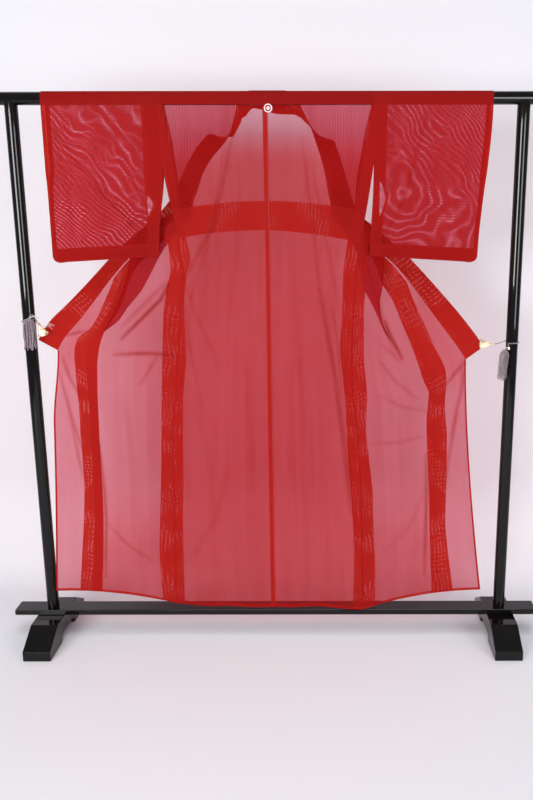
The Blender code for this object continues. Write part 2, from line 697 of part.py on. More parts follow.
d = BOARD_HALF_DEPTH
e = 0.0015
board_outline = [(-d, e), (-d + e, 0), (d - e, 0), (d, e), (d, BOARD_THICK - e), (d - e, BOARD_THICK),
                 (-d + e, BOARD_THICK), (-d, BOARD_THICK - e)]
board = prism("stretcher", board_outline, BOARD_HALF_LENGTH, LACQUER, 0.0012)
board.location = (0, 0, FOOT_TOP + SEAM_GAP)


# Ties: a fan-shaped gilt clip pinches each collar tip, and its cord goes round the post
CLIP_THICK = 0.0070
CLIP_Y = 0.0
CORD_R = 0.0015
KNOT_R = 0.0042
TASSEL_TOP = 0.0055
TASSEL_FOOT = 0.0105
STRANDS_ROUND = 14
STRAND_HALF = 0.0011
# where the clip's bead sits, which way its fan opens, the tie's height on the post, the tassel's head
TIE = {
    -1: {"bead": (0.7095, 1.0375), "open": 250.0, "height": 1.046, "tassel": (0.7415, 1.044), "length": 0.104},
    1: {"bead": (0.6800, 0.9700), "open": 176.0, "height": 0.980, "tassel": (0.7225, 0.964), "length": 0.103},
}
FAN_LENGTH = 0.042
FAN_SPREAD = 42.0


def round_solid(name, profile, spec, place, sides=12):
    """A round solid along Z from (z, radius) stations."""
    verts = []
    for z, r in profile:
        for k in range(sides):
            a = 2 * math.pi * k / sides
            verts.append((r * math.cos(a), r * math.sin(a), z))
    faces = [tuple(range(sides))]
    for j in range(len(profile) - 1):
        for k in range(sides):
            m = (k + 1) % sides
            faces.append((j * sides + k, (j + 1) * sides + k, (j + 1) * sides + m, j * sides + m))
    last = (len(profile) - 1) * sides
    faces.append(tuple(last + k for k in reversed(range(sides))))
    ob = add(name, verts, faces, spec)
    ob.location = place
    return ob


def clip(side, name):
    """A fan-shaped jaw on each face of the collar's tip, joined at the bead end."""
    x0, z0 = TIE[side]["bead"]
    turn = math.radians(TIE[side]["open"])
    half = math.radians(FAN_SPREAD / 2)
    steps = 6
    rim = [(0.004, -0.0036), (-0.0036, -0.0030), (-0.0036, 0.0030), (0.004, 0.0036)]
    for k in range(steps + 1):
        a = half - 2 * half * k / steps
        rim.append((FAN_LENGTH * math.cos(a), FAN_LENGTH * math.sin(a)))
    c, s = math.cos(turn), math.sin(turn)
    outline = [(side * (x0 + u * c - w * s), z0 + u * s + w * c) for u, w in rim]
    inner = COLLAR_THICK / 2 + 0.0004
    n = len(outline)
    verts = []
    for y in (CLIP_Y - CLIP_THICK / 2, CLIP_Y - inner, CLIP_Y + inner, CLIP_Y + CLIP_THICK / 2):
        for x, z in outline:
            verts.append((x, y, z))
    bridge = 4
    faces = [tuple(range(n)), tuple(3 * n + k for k in reversed(range(n)))]
    for k in range(n):
        m = (k + 1) % n
        faces.append((k, n + k, n + m, m))
        faces.append((2 * n + k, 3 * n + k, 3 * n + m, 2 * n + m))
    for k in range(bridge - 1):
        faces.append((n + k, 2 * n + k, 2 * n + k + 1, n + k + 1))
    faces.append((n + bridge - 1, 2 * n + bridge - 1, 2 * n, n))
    faces.append((n, ) + tuple(n + k for k in range(n - 1, bridge - 2, -1)))
    faces.append(tuple(2 * n + k for k in range(bridge - 1, n)) + (2 * n, ))
    return add(name, verts, faces, GILT)


def tube(name, path, radius, spec, sides=8):
    """A round cord along a path of points."""
    verts = []
    last = None
    for i, p in enumerate(path):
        ahead = path[min(i + 1, len(path) - 1)]
        behind = path[max(i - 1, 0)]
        t = (ahead - behind).normalized()
        ref = last if last is not None else Vector((0, 0, 1))
        u = (ref - t * ref.dot(t)).normalized()
        last = u
        w = t.cross(u)
        for k in range(sides):
            a = 2 * math.pi * k / sides
            verts.append(p + u * (radius * math.cos(a)) + w * (radius * math.sin(a)))
    faces = [tuple(range(sides))]
    for j in range(len(path) - 1):
        for k in range(sides):
            m = (k + 1) % sides
            faces.append((j * sides + k, (j + 1) * sides + k, (j + 1) * sides + m, j * sides + m))
    end = (len(path) - 1) * sides
    faces.append(tuple(end + k for k in reversed(range(sides))))
    return add(name, verts, faces, spec)


def tie_cord(side, name):
    """From the clip's bead round the back of the post to the knot in front of it."""
    x0, z0 = TIE[side]["bead"]
    level = TIE[side]["height"]
    reach = POST_R + CORD_R + 0.0006
    tx, tz = TIE[side]["tassel"]
    start = Vector((side * (x0 + 0.0062), 0.0, z0 + 0.0012))
    first = Vector((side * (POST_X + reach * math.cos(math.radians(150))), reach * 0.5, level))
    path = [start]
    if (first - start).length > 0.012:
        path.append(start.lerp(first, 0.5) - Vector((0, 0, 0.001)))
    for k in range(13 if side < 0 else 15):
        a = math.radians(150 - 20 * k)
        path.append(Vector((side * (POST_X + reach * math.cos(a)), reach * math.sin(a), level - 0.0003 * k)))
    path.append(Vector((side * tx, -POST_R - KNOT_R - 0.0012, tz + 0.006)))
    return tube(name, path, CORD_R, CORD)


def tassel(side, name, place, long):
    """A bound head whose strands stand apart below it, each drawn down from one face of the head."""
    n = STRANDS_ROUND
    head = ((-0.0048, 0.0028), (-0.010, TASSEL_TOP * 1.1), (-0.020, TASSEL_TOP * 0.85),
            (-0.024, TASSEL_TOP * 1.3), (-0.024, TASSEL_TOP * 0.72), (-0.024, TASSEL_TOP * 0.20))
    verts = []
    for z, r in head:
        for k in range(n):
            a = 2 * math.pi * k / n
            verts.append(Vector((r * math.cos(a), r * math.sin(a), z)))
    faces = [tuple(reversed(range(n)))]
    for j in range(3):
        for k in range(n):
            m = (k + 1) % n
            faces.append((j * n + k, j * n + m, (j + 1) * n + m, (j + 1) * n + k))
    faces.append(tuple(5 * n + k for k in range(n)))
    for ring in (3, 4):
        for k in range(n):
            m = (k + 1) % n
            corners = (ring * n + k, ring * n + m, (ring + 1) * n + m, (ring + 1) * n + k)
            middle = sum((verts[i] for i in corners), Vector((0, 0, 0))) / 4
            a = 2 * math.pi * (k + 0.5) / n
            away = Vector((math.cos(a), math.sin(a), 0))
            around = Vector((-math.sin(a), math.cos(a), 0))
            foot = TASSEL_FOOT - 0.0015 if ring == 3 else TASSEL_FOOT * 0.42
            end = long * (1 - 0.10 * (0.5 + 0.5 * math.sin(7 * k + 3 * ring + side)))
            half = STRAND_HALF if ring == 3 else STRAND_HALF * 0.55
            last = corners
            for f in (0.0, 0.18, 0.6, 1.0):
                r = middle.xy.length + (foot - middle.xy.length) * ease(f, -0.1, 0.75)
                sway = 0.0006 * f * math.sin(5 * f + 2.4 * k)
                centre = away * r + around * sway + Vector((0, 0, -0.024 - (end - 0.024) * f))
                thin = half * (0.62 + 0.38 * ease(f, 0.0, 0.3))
                start = len(verts)
                for p, q in ((1, -1), (1, 1), (-1, 1), (-1, -1)):
                    verts.append(centre + away * (p * thin) + around * (q * thin))
                current = (start, start + 1, start + 2, start + 3)
                for i in range(4):
                    faces.append((last[i], last[(i + 1) % 4], current[(i + 1) % 4], current[i]))
                last = current
            faces.append(last)
    ob = add(name, verts, faces, CORD)
    ob.location = place
    return ob


for side, word in ((-1, "left"), (1, "right")):
    clip(side, "clip_" + word)
    tie_cord(side, "cord_" + word)
    tx, tz = TIE[side]["tassel"]
    long = TIE[side]["length"]
    depth = -POST_R - TASSEL_FOOT - 0.0012
    bead = [(-0.0042, 0.0016), (-0.0028, 0.0035), (0.0, KNOT_R), (0.0028, 0.0035), (0.0042, 0.0016)]
    round_solid("bead_" + word, bead, GILT, (side * tx, depth, tz))
    tassel(side, "tassel_" + word, (side * tx, depth, tz), long)
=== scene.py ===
"""Looks of a sheer red kimono hung on a lacquered stand, dressed over its CAD frame. Metres, +Z up."""
import functools
import math

import bpy
from mathutils import Matrix, Vector, noise


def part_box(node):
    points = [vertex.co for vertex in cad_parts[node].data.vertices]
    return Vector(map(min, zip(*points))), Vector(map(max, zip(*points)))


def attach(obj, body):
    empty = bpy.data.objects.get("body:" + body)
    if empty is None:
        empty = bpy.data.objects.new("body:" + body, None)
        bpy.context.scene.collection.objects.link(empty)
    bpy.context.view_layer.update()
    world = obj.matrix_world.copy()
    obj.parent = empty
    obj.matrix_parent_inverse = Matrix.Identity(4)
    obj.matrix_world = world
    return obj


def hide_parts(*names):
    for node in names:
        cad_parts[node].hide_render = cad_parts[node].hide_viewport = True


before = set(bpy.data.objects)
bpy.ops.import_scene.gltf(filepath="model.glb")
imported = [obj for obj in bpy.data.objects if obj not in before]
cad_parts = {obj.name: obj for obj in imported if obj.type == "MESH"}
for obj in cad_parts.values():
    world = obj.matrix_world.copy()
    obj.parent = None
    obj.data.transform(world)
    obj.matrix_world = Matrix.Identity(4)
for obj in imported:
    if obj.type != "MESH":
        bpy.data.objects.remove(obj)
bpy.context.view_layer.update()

FULL_TURN = 2 * math.pi

# Camera, fitted to the photograph's 533 x 800 frame
IMAGE_WIDTH = 533
FOCAL_PIXELS = 812.01
CENTRE_PIXEL_X = 326.985
CAMERA_AT = Vector((0.1701, -2.4674, 1.3755))
CAMERA_DOWN = 0.2308
CAMERA_ROLL = -0.0014

camera_data = bpy.data.cameras.new("camera")
camera = bpy.data.objects.new("camera", camera_data)
bpy.context.scene.collection.objects.link(camera)
bpy.context.scene.camera = camera
camera_data.sensor_fit = "HORIZONTAL"
camera_data.sensor_width = 36.0
camera_data.lens = FOCAL_PIXELS / IMAGE_WIDTH * 36.0
camera_data.shift_x = -(CENTRE_PIXEL_X - IMAGE_WIDTH / 2) / IMAGE_WIDTH
camera.matrix_world = (Matrix.Translation(CAMERA_AT) @ Matrix.Rotation(math.pi / 2 - CAMERA_DOWN, 4, "X")
                       @ Matrix.Rotation(CAMERA_ROLL, 4, "Z"))

# Stand sizes, read from the frame
rail_low, rail_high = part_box("rail")
post_low, post_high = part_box("post_right")
RAIL_R = (rail_high.y - rail_low.y) / 2
RAIL_Z = (rail_low.z + rail_high.z) / 2
RAIL_HALF = rail_high.x
POST_R = (post_high.y - post_low.y) / 2
POST_X = (post_low.x + post_high.x) / 2

# The cut, all finished sizes
LAYER = 0.001
SEAM_GAP = 0.0003
SEAM_BEHIND = 0.0018
CLEAR = 0.0009
WRAP_R = RAIL_R + CLEAR + LAYER / 2
QUARTER = WRAP_R * math.pi / 2
LENGTH = 1.615
BACK_WIDTH = 0.3085
NECK_HALF = 0.09
FRONT_WIDTH = 0.24
OKUMI_WIDTH = 0.155
OKUMI_TOP = 0.23
COLLAR_END = 0.87
COLLAR_WIDTH = 0.055
COLLAR_WIDTH_TIP = 0.068
COLLAR_THICK = 0.0022
SLEEVE_WIDTH = 0.338
SLEEVE_DROP = 0.497
SLEEVE_JOIN = 0.22
CUFF_OPEN = 0.23
SLIT_END = 0.37
HEM = 0.008
TUCK_TOP = 0.318
TUCK_BOTTOM = 0.402
TUCK_RISE = {-1: 0.0, 1: 0.004}
TUCK_SLANT = {-1: -0.002, 1: 0.012}
FRONT_ALLOWANCE = 0.036
CENTRE_ALLOWANCE = 0.013
SLEEVE_ALLOWANCE = 0.036
SLEEVE_HEM = 0.040
SLEEVE_EDGE = 0.009
SLEEVE_NEAR_Y = -0.016
SLEEVE_FAR_Y = -0.006
SLEEVE_MIDDLE_Y = -0.0105
SLEEVE_CORNER = 0.020
BACK_HEM = 1.5 * HEM
# Half the width of the collar's stretch behind the neck, and the rows' step down the cloth
NAPE_HALF = 0.082
ROW_STEP = 0.0052
CREST_AT = (0.003, 0.049)
CREST_R = 0.0118
CREST_PROUD = 0.0011

# Stations down each side, measured from the photograph: (drop, distance from the centre)
SIDE_SEAM = {
    -1: ((0.0, 0.3085), (0.17, 0.3085), (0.255, 0.298), (0.33, 0.286), (0.43, 0.272), (0.51, 0.265),
         (0.56, 0.272), (0.60, 0.276), (0.72, 0.284), (0.91, 0.305), (1.04, 0.316), (1.24, 0.323),
         (1.615, 0.330)),
    1: ((0.0, 0.3085), (0.17, 0.3085), (0.26, 0.297), (0.33, 0.286), (0.48, 0.261), (0.60, 0.2526),
        (0.72, 0.2472), (0.85, 0.2479), (0.975, 0.2611), (1.10, 0.2712), (1.24, 0.2784), (1.615, 0.286)),
}
SIDE_DEPTH = {
    -1: ((0.0, 0.0), (0.37, 0.006), (0.9, 0.004), (1.615, -0.006)),
    1: ((0.0, 0.0), (0.37, 0.006), (0.9, 0.0), (1.3, -0.022), (1.615, -0.037)),
}
HEM_HEIGHT = {-1: 0.107, 1: 0.0995}
HEM_CENTRE = 0.106
# Collar seam: (length down the front edge, distance from the centre, drop, depth behind the rail)
COLLAR_SEAM = {
    -1: ((0.03, 0.090, 0.020, 0.0196), (0.13, 0.114, 0.112, 0.040), (0.22, 0.178, 0.190, 0.048),
         (0.38, 0.260, 0.325, 0.050), (0.58, 0.459, 0.498, 0.057), (0.76, 0.597, 0.664, 0.042),
         (0.83, 0.640, 0.715, 0.018), (0.87, 0.660, 0.752, 0.004)),
    1: ((0.03, 0.090, 0.020, 0.0196), (0.12, 0.124, 0.098, 0.040), (0.22, 0.160, 0.200, 0.048),
        (0.38, 0.212, 0.345, 0.050), (0.60, 0.392, 0.510, 0.060), (0.76, 0.510, 0.660, 0.044),
        (0.83, 0.572, 0.742, 0.020), (0.87, 0.600, 0.782, 0.004)),
}
FRONT_HEM = {-1: (0.716, 0.162, -0.026), 1: (0.676, 0.150, 0.004)}
FRONT_HEM_RISE = 1.10
# How far the upper front folds inboard of the straight line from side seam to collar seam
FOLD_IN = {-1: 0.030, 1: 0.050}
# The slack of each front lies in one pleat: (drop, distance from the centre) of its two turns
TURN_OUT = {
    -1: ((0.33, 0.370), (0.42, 0.405), (0.474, 0.4252), (0.525, 0.4372), (0.60, 0.4662), (0.648, 0.4906),
         (0.70, 0.5218)),
    1: ((0.33, 0.350), (0.486, 0.3432), (0.552, 0.3411), (0.61, 0.3328), (0.662, 0.3397),
        (0.709, 0.3588), (0.75, 0.3843), (0.781, 0.4035)),
}
TURN_IN = {
    -1: ((0.33, 0.222), (0.40, 0.282), (0.45, 0.3257), (0.534, 0.3755), (0.577, 0.4022), (0.626, 0.4449),
         (0.663, 0.4720), (0.70, 0.5204)),
    1: ((0.33, 0.165), (0.40, 0.225), (0.45, 0.258), (0.55, 0.2776), (0.578, 0.2886), (0.633, 0.3175),
        (0.679, 0.3375), (0.709, 0.3535), (0.742, 0.3770), (0.78, 0.4025)),
}
# Seam between front and overlap panel: (drop, distance from the centre)
OKUMI_SEAM = {
    -1: ((0.33, 0.235), (0.40, 0.302), (0.45, 0.360), (0.498, 0.411), (0.535, 0.434), (0.60, 0.459),
         (0.648, 0.484), (0.701, 0.5218), (0.745, 0.5355), (0.79, 0.5416), (0.85, 0.5457), (0.92, 0.550),
         (1.108, 0.5590), (1.31, 0.5585), (1.45, 0.5617), (1.56, 0.5685)),
    1: ((0.33, 0.175), (0.40, 0.235), (0.45, 0.285), (0.486, 0.316), (0.554, 0.3422), (0.603, 0.3737),
        (0.664, 0.3995), (0.727, 0.4271), (0.79, 0.452), (0.854, 0.474), (0.896, 0.4915), (0.98, 0.489),
        (1.109, 0.495), (1.244, 0.5035), (1.45, 0.5109), (1.56, 0.5156)),
}
# The collar's free edge where it still hangs at the nape: (length, distance, drop, depth)
COLLAR_FREE = {
    -1: ((-0.082, 0.0, 0.0545, 0.0225), (-0.060, 0.022, 0.048, 0.0225), (-0.037, 0.042, 0.045, 0.0225),
         (-0.016, 0.054, 0.052, 0.0235), (0.0, 0.0645, 0.0656, 0.026), (0.03, 0.076, 0.079, 0.030),
         (0.06, 0.093, 0.097, 0.042), (0.10, 0.112, 0.113, 0.052)),
    1: ((-0.082, 0.0, 0.0545, 0.0225), (-0.060, 0.022, 0.060, 0.0225), (-0.037, 0.045, 0.062, 0.0225),
        (-0.016, 0.064, 0.062, 0.0235), (0.0, 0.0775, 0.0624, 0.026), (0.03, 0.098, 0.071, 0.030),
        (0.06, 0.116, 0.080, 0.042), (0.10, 0.127, 0.101, 0.052)),
}
SLEEVE_SWING = {-1: 0.020, 1: -0.010}
SLEEVE_PULL = {-1: 0.0, 1: 0.028}
# Bends of the hanging cloth: sag of the shoulders, wave and slack of the back, bulge of the front edge
SHOULDER_SAG = 0.026
BACK_WAVE = 0.006
BACK_SLACK = 0.010
EDGE_BULGE = 0.012
# The bellies of the lower fronts are fitted every BELLY_STEP from BELLY_TOP down, by halving the span
BELLY_STEP = 0.03
BELLY_TOP = 0.72
BELLY_MOST = 0.05
SIDES = ((-1, "left"), (1, "right"))
# Ties: the clip's bead and the tassel's head (distance, height), the way the fan opens in degrees, the
# cord's height on the post and the tassel's length
CLIP_THICK = 0.0070
CLIP_Y = 0.0
CORD_SHOWN = 0.0019
KNOT_R = 0.0042
TASSEL_FOOT = 0.0105
TASSEL_Y = -POST_R - TASSEL_FOOT - 0.0012
FAN_LENGTH = 0.042
FAN_SPREAD = 42.0
TIE = {
    -1: {"bead": (0.7095, 1.0375), "open": 250.0, "height": 1.046, "tassel": (0.7415, 1.044),
         "length": 0.088},
    1: {"bead": (0.6800, 0.9700), "open": 176.0, "height": 0.980, "tassel": (0.7225, 0.964),
        "length": 0.103},
}
# Tassel cords: how many, radius, length of a turn of the plies, spread, rise over the head, lean inward
# and shift toward the clip
SKIRT = {
    -1: {"count": 22, "radius": 0.0020, "pitch": 0.0085, "spread": 0.0185, "rise": 0.012, "lean": 0.0,
         "shift": 0.011},
    1: {"count": 46, "radius": 0.0010, "pitch": 0.005, "spread": 0.0140, "rise": 0.0, "lean": 0.005,
        "shift": 0.012},
}
LOOSE_COUNT = {-1: 11, 1: 9}
TURNS_ROUND_POST = {-1: 13, 1: 15}
GOLDEN_ANGLE = 2.399963

# Lines where the pressed seam allowances end: (drop, distance from the centre)
BACK_BAND = {
    -1: ((0.0, 0.2815), (0.25, 0.270), (0.419, 0.2489), (0.484, 0.2396), (0.537, 0.2598), (0.658, 0.2649),
         (0.751, 0.2626), (0.908, 0.2784), (1.038, 0.2838), (1.17, 0.2878), (1.306, 0.2951), (1.58, 0.300)),
    1: ((0.0, 0.2815), (0.25, 0.268), (0.42, 0.2336), (0.539, 0.219), (0.66, 0.2163), (0.74, 0.2104),
        (0.847, 0.2199), (0.91, 0.2264), (1.104, 0.2364), (1.236, 0.248), (1.438, 0.257), (1.577, 0.2544)),
}
FRONT_BAND = {
    -1: ((0.30, 0.325), (0.419, 0.308), (0.514, 0.3018), (0.568, 0.3149), (0.659, 0.3298), (0.783, 0.3388),
         (1.039, 0.3542), (1.172, 0.3622), (1.308, 0.3704), (1.447, 0.3771), (1.583, 0.3721)),
    1: ((0.30, 0.322), (0.42, 0.2964), (0.599, 0.286), (0.66, 0.2835), (0.784, 0.2846), (0.91, 0.295),
        (1.007, 0.2927), (1.104, 0.3029), (1.236, 0.3168), (1.37, 0.3212), (1.507, 0.3274), (1.577, 0.3265)),
}
OKUMI_BAND = {
    -1: ((0.40, 0.380), (0.505, 0.4642), (0.603, 0.512), (0.68, 0.5543), (0.727, 0.5996), (0.759, 0.6081),
         (0.912, 0.6076), (1.042, 0.6122), (1.176, 0.612), (1.312, 0.6183), (1.452, 0.6297),
         (1.552, 0.6383)),
    1: ((0.40, 0.330), (0.509, 0.3943), (0.604, 0.4347), (0.729, 0.4953), (0.84, 0.5411), (0.913, 0.540),
        (1.043, 0.5521), (1.177, 0.5548), (1.313, 0.556), (1.453, 0.5704), (1.525, 0.581), (1.564, 0.5856)),
}
SEAM_LINE = 0.0022
EDGE_ROLL = 0.006

# Creases: points (x, drop), depth, half width and added layers of cloth
# The added layers of each crease also darken the thread colour along it: painted crease shade
BACK_FOLDS = (
    (((-0.095, 0.10), (-0.162, 0.376), (-0.241, 0.502), (-0.261, 0.538)), 0.0045, 0.011, 0.40),
    (((-0.128, 0.16), (-0.150, 0.30), (-0.186, 0.44), (-0.245, 0.60)), 0.0030, 0.010, 0.22),
    (((-0.080, 0.20), (-0.095, 0.44), (-0.140, 0.74)), 0.0020, 0.016, 0.10),
    (((0.099, 0.134), (0.128, 0.36), (0.149, 0.568)), 0.0035, 0.010, 0.28),
    (((0.149, 0.568), (0.170, 0.690), (0.192, 0.815), (0.217, 1.007), (0.237, 1.173), (0.250, 1.275)),
     0.0050, 0.012, 0.50),
    (((0.125, 0.20), (0.165, 0.40), (0.205, 0.62)), 0.0030, 0.010, 0.20),
    (((0.188, 0.62), (0.205, 0.74), (0.214, 0.90)), 0.0030, 0.009, 0.25),
    (((0.060, 0.36), (0.075, 0.66), (0.100, 1.05)), 0.0020, 0.018, 0.10),
    (((-0.268, 0.52), (-0.235, 0.62), (-0.160, 0.80)), 0.0030, 0.012, 0.16),
    (((-0.268, 0.53), (-0.256, 0.70), (-0.215, 0.95)), 0.0030, 0.010, 0.20),
    (((-0.255, 0.86), (-0.200, 1.10), (-0.186, 1.46)), 0.0035, 0.022, 0.08),
    (((-0.070, 0.80), (-0.060, 1.15), (-0.072, 1.58)), 0.0030, 0.024, 0.06),
    (((0.080, 0.95), (0.096, 1.25), (0.110, 1.58)), 0.0030, 0.024, 0.06),
    (((-0.135, 1.10), (-0.190, 1.30), (-0.285, 1.46)), 0.0040, 0.020, 0.14),
)
FRONT_FOLDS = (
    (((-0.310, 0.553), (-0.336, 0.598), (-0.400, 0.659), (-0.465, 0.720)), 0.0040, 0.007, 1.00),
    (((-0.318, 0.547), (-0.398, 0.622), (-0.462, 0.683)), 0.0030, 0.010, 0.35),
    (((-0.487, 0.768), (-0.420, 0.765), (-0.375, 0.764), (-0.285, 0.770)), 0.0030, 0.006, 0.75),
    (((-0.352, 0.768), (-0.377, 0.808), (-0.411, 0.861)), 0.0030, 0.009, 0.35),
    (((-0.647, 0.770), (-0.632, 0.829), (-0.606, 0.893)), 0.0030, 0.007, 0.40),
    (((-0.660, 0.820), (-0.644, 0.909), (-0.627, 1.006), (-0.612, 1.072)), 0.0035, 0.009, 0.40),
    (((-0.640, 0.96), (-0.624, 1.105), (-0.613, 1.172)), 0.0025, 0.008, 0.30),
    (((-0.640, 0.709), (-0.580, 0.697)), 0.0020, 0.006, 0.50),
    (((-0.560, 1.05), (-0.551, 1.205), (-0.548, 1.308), (-0.554, 1.50)), 0.0030, 0.007, 0.60),
    (((-0.470, 0.86), (-0.452, 1.10), (-0.462, 1.40)), 0.0035, 0.020, 0.07),
    (((0.292, 0.50), (0.325, 0.60), (0.362, 0.72), (0.380, 0.78)), 0.0030, 0.010, 0.25),
    (((0.349, 0.668), (0.366, 0.712), (0.384, 0.746), (0.4035, 0.781)), 0.0050, 0.005, 1.00),
    (((0.4035, 0.781), (0.392, 0.787), (0.372, 0.768), (0.335, 0.735)), 0.0030, 0.008, 0.22),
    (((0.335, 0.79), (0.380, 0.85), (0.450, 0.91)), 0.0030, 0.010, 0.28),
    (((0.340, 0.90), (0.400, 0.935), (0.485, 0.955)), 0.0030, 0.010, 0.20),
    (((0.310, 1.055), (0.400, 1.058), (0.480, 1.040)), 0.0030, 0.007, 0.22),
    (((0.490, 1.22), (0.440, 1.34), (0.360, 1.42)), 0.0040, 0.016, 0.14),
    (((-0.545, 1.325), (-0.480, 1.395), (-0.400, 1.45)), 0.0030, 0.009, 0.28),
    (((0.602, 0.782), (0.567, 0.828), (0.530, 0.882)), 0.0030, 0.008, 0.45),
    (((0.602, 0.782), (0.585, 0.911), (0.565, 1.041)), 0.0035, 0.010, 0.40),
    (((0.584, 0.80), (0.610, 0.95), (0.622, 1.15)), 0.0025, 0.010, 0.20),
    (((0.489, 1.10), (0.494, 1.241), (0.492, 1.379), (0.490, 1.50)), 0.0030, 0.007, 0.60),
    (((0.580, 0.96), (0.561, 1.107), (0.549, 1.230)), 0.0030, 0.009, 0.35),
    (((0.420, 0.86), (0.412, 1.10), (0.425, 1.42)), 0.0035, 0.020, 0.07),
)
SLEEVE_FOLDS = {
    -1: ((((-0.642, 0.065), (-0.497, 0.275), (-0.441, 0.332), (-0.352, 0.437)), 0.0030, 0.009, 0.45),
         (((-0.352, 0.32), (-0.405, 0.37), (-0.470, 0.42)), 0.0020, 0.008, 0.25),
         (((-0.612, 0.10), (-0.585, 0.30), (-0.578, 0.43)), 0.0020, 0.010, 0.18),
         (((-0.450, 0.05), (-0.425, 0.20), (-0.380, 0.33)), 0.0020, 0.014, 0.12)),
    1: ((((0.467, 0.025), (0.401, 0.290), (0.335, 0.425)), 0.0030, 0.009, 0.45),
        (((0.600, 0.08), (0.545, 0.40)), 0.0020, 0.016, 0.12),
        (((0.520, 0.06), (0.480, 0.25), (0.400, 0.43)), 0.0020, 0.012, 0.15)),
}
# Where the sleeve's inner edge parts below the armhole: from, to and widest drop, distance and width
EDGE_PARTS = {-1: (0.292, 0.362, 0.321, 0.357, -0.017), 1: (0.250, 0.362, 0.304, 0.3265, 0.0175)}


def ease(value, low, high):
    """Smooth step from 0 at low to 1 at high."""
    f = min(1.0, max(0.0, (value - low) / (high - low)))
    return f * f * (3 - 2 * f)


def along(table, key, column=1):
    """Monotone cubic reading of a table of stations."""
    n = len(table)
    if key <= table[0][0]:
        return table[0][column]
    if key >= table[-1][0]:
        return table[-1][column]
    slopes = []
    for i in range(n - 1):
        slopes.append((table[i + 1][column] - table[i][column]) / (table[i + 1][0] - table[i][0]))
    tang = [slopes[0]]
    for i in range(1, n - 1):
        a, b = slopes[i - 1], slopes[i]
        tang.append(0.0 if a * b <= 0 else 2 * a * b / (a + b))
    tang.append(slopes[-1])
    for i in range(n - 1):
        if key <= table[i + 1][0]:
            h = table[i + 1][0] - table[i][0]
            f = (key - table[i][0]) / h
            p, q = table[i][column], table[i + 1][column]
            return ((2 * f ** 3 - 3 * f ** 2 + 1) * p + (f ** 3 - 2 * f ** 2 + f) * h * tang[i]
                    + (3 * f ** 2 - 2 * f ** 3) * q + (f ** 3 - f ** 2) * h * tang[i + 1])


def spread(start, end, step, *edges):
    """Values from start to end no further apart than step, with every edge among them."""
    marks = sorted({start, end, *[e for e in edges if start < e < end]})
    values = [marks[0]]
    for a, b in zip(marks, marks[1:]):
        n = max(1, math.ceil((b - a) / step - 1e-6))
        values += [a + (b - a) * k / n for k in range(1, n + 1)]
    return values


# Materials
def node(tree, kind, **inputs):
    made = tree.nodes.new(kind)
    for key, value in inputs.items():
        made.inputs[key.replace("_", " ")].default_value = value
    return made


def math_node(tree, operation, *values, clamp=False):
    made = tree.nodes.new("ShaderNodeMath")
    made.operation = operation
    made.use_clamp = clamp
    for i, value in enumerate(values):
        if isinstance(value, (int, float)):
            made.inputs[i].default_value = value
        else:
            tree.links.new(value, made.inputs[i])
    return made.outputs[0]


def blank_material(name):
    mat = bpy.data.materials.new(name)
    mat.use_nodes = True
    mat.node_tree.nodes.clear()
    out = mat.node_tree.nodes.new("ShaderNodeOutputMaterial")
    return mat, mat.node_tree, out


def attribute(tree, name):
    made = tree.nodes.new("ShaderNodeAttribute")
    made.attribute_name = name
    return made.outputs["Fac"]


def noise_at(tree, place, scale, detail, rough):
    made = node(tree, "ShaderNodeTexNoise", Scale=scale, Detail=detail, Roughness=rough)
    tree.links.new(place, made.inputs["Vector"])
    return made.outputs["Fac"]


def two_tone(tree, value, low_at, low, high_at, high):
    """A ramp between two colours."""
    made = tree.nodes.new("ShaderNodeValToRGB")
    for element, at, colour in zip(made.color_ramp.elements, (low_at, high_at), (low, high)):
        element.position = at
        element.color = colour + (1.0, )
    tree.links.new(value, made.inputs[0])
    return made.outputs[0]


def parts(tree, place):
    made = tree.nodes.new("ShaderNodeSeparateXYZ")
    tree.links.new(place, made.inputs[0])
    return [made.outputs[axis] for axis in "XYZ"]


def smooth_step(tree, value, low, high):
    made = tree.nodes.new("ShaderNodeMapRange")
    made.interpolation_type = "SMOOTHSTEP"
    made.inputs["From Min"].default_value = low
    made.inputs["From Max"].default_value = high
    tree.links.new(value, made.inputs["Value"])
    return made.outputs["Result"]


SILK_RED = (0.335, 0.0066, 0.0056)
# Share of red, green and blue that one layer of the sheer cloth lets straight through
CLEAR_RED = 0.565
CLEAR_GREEN = 0.283
CLEAR_BLUE = 0.335
# Spacing of threads, and of the lines and dots that layers of weave make together, in metres
WEFT_STEP = 0.0016
WARP_STEP = 0.0012
UPRIGHT_STEP = 0.0082
RING_BEADS = 0.0085
BEAT_ACROSS = 0.0125
BEAT_DOWN = 0.0140
BEAT_LIFT = -0.57


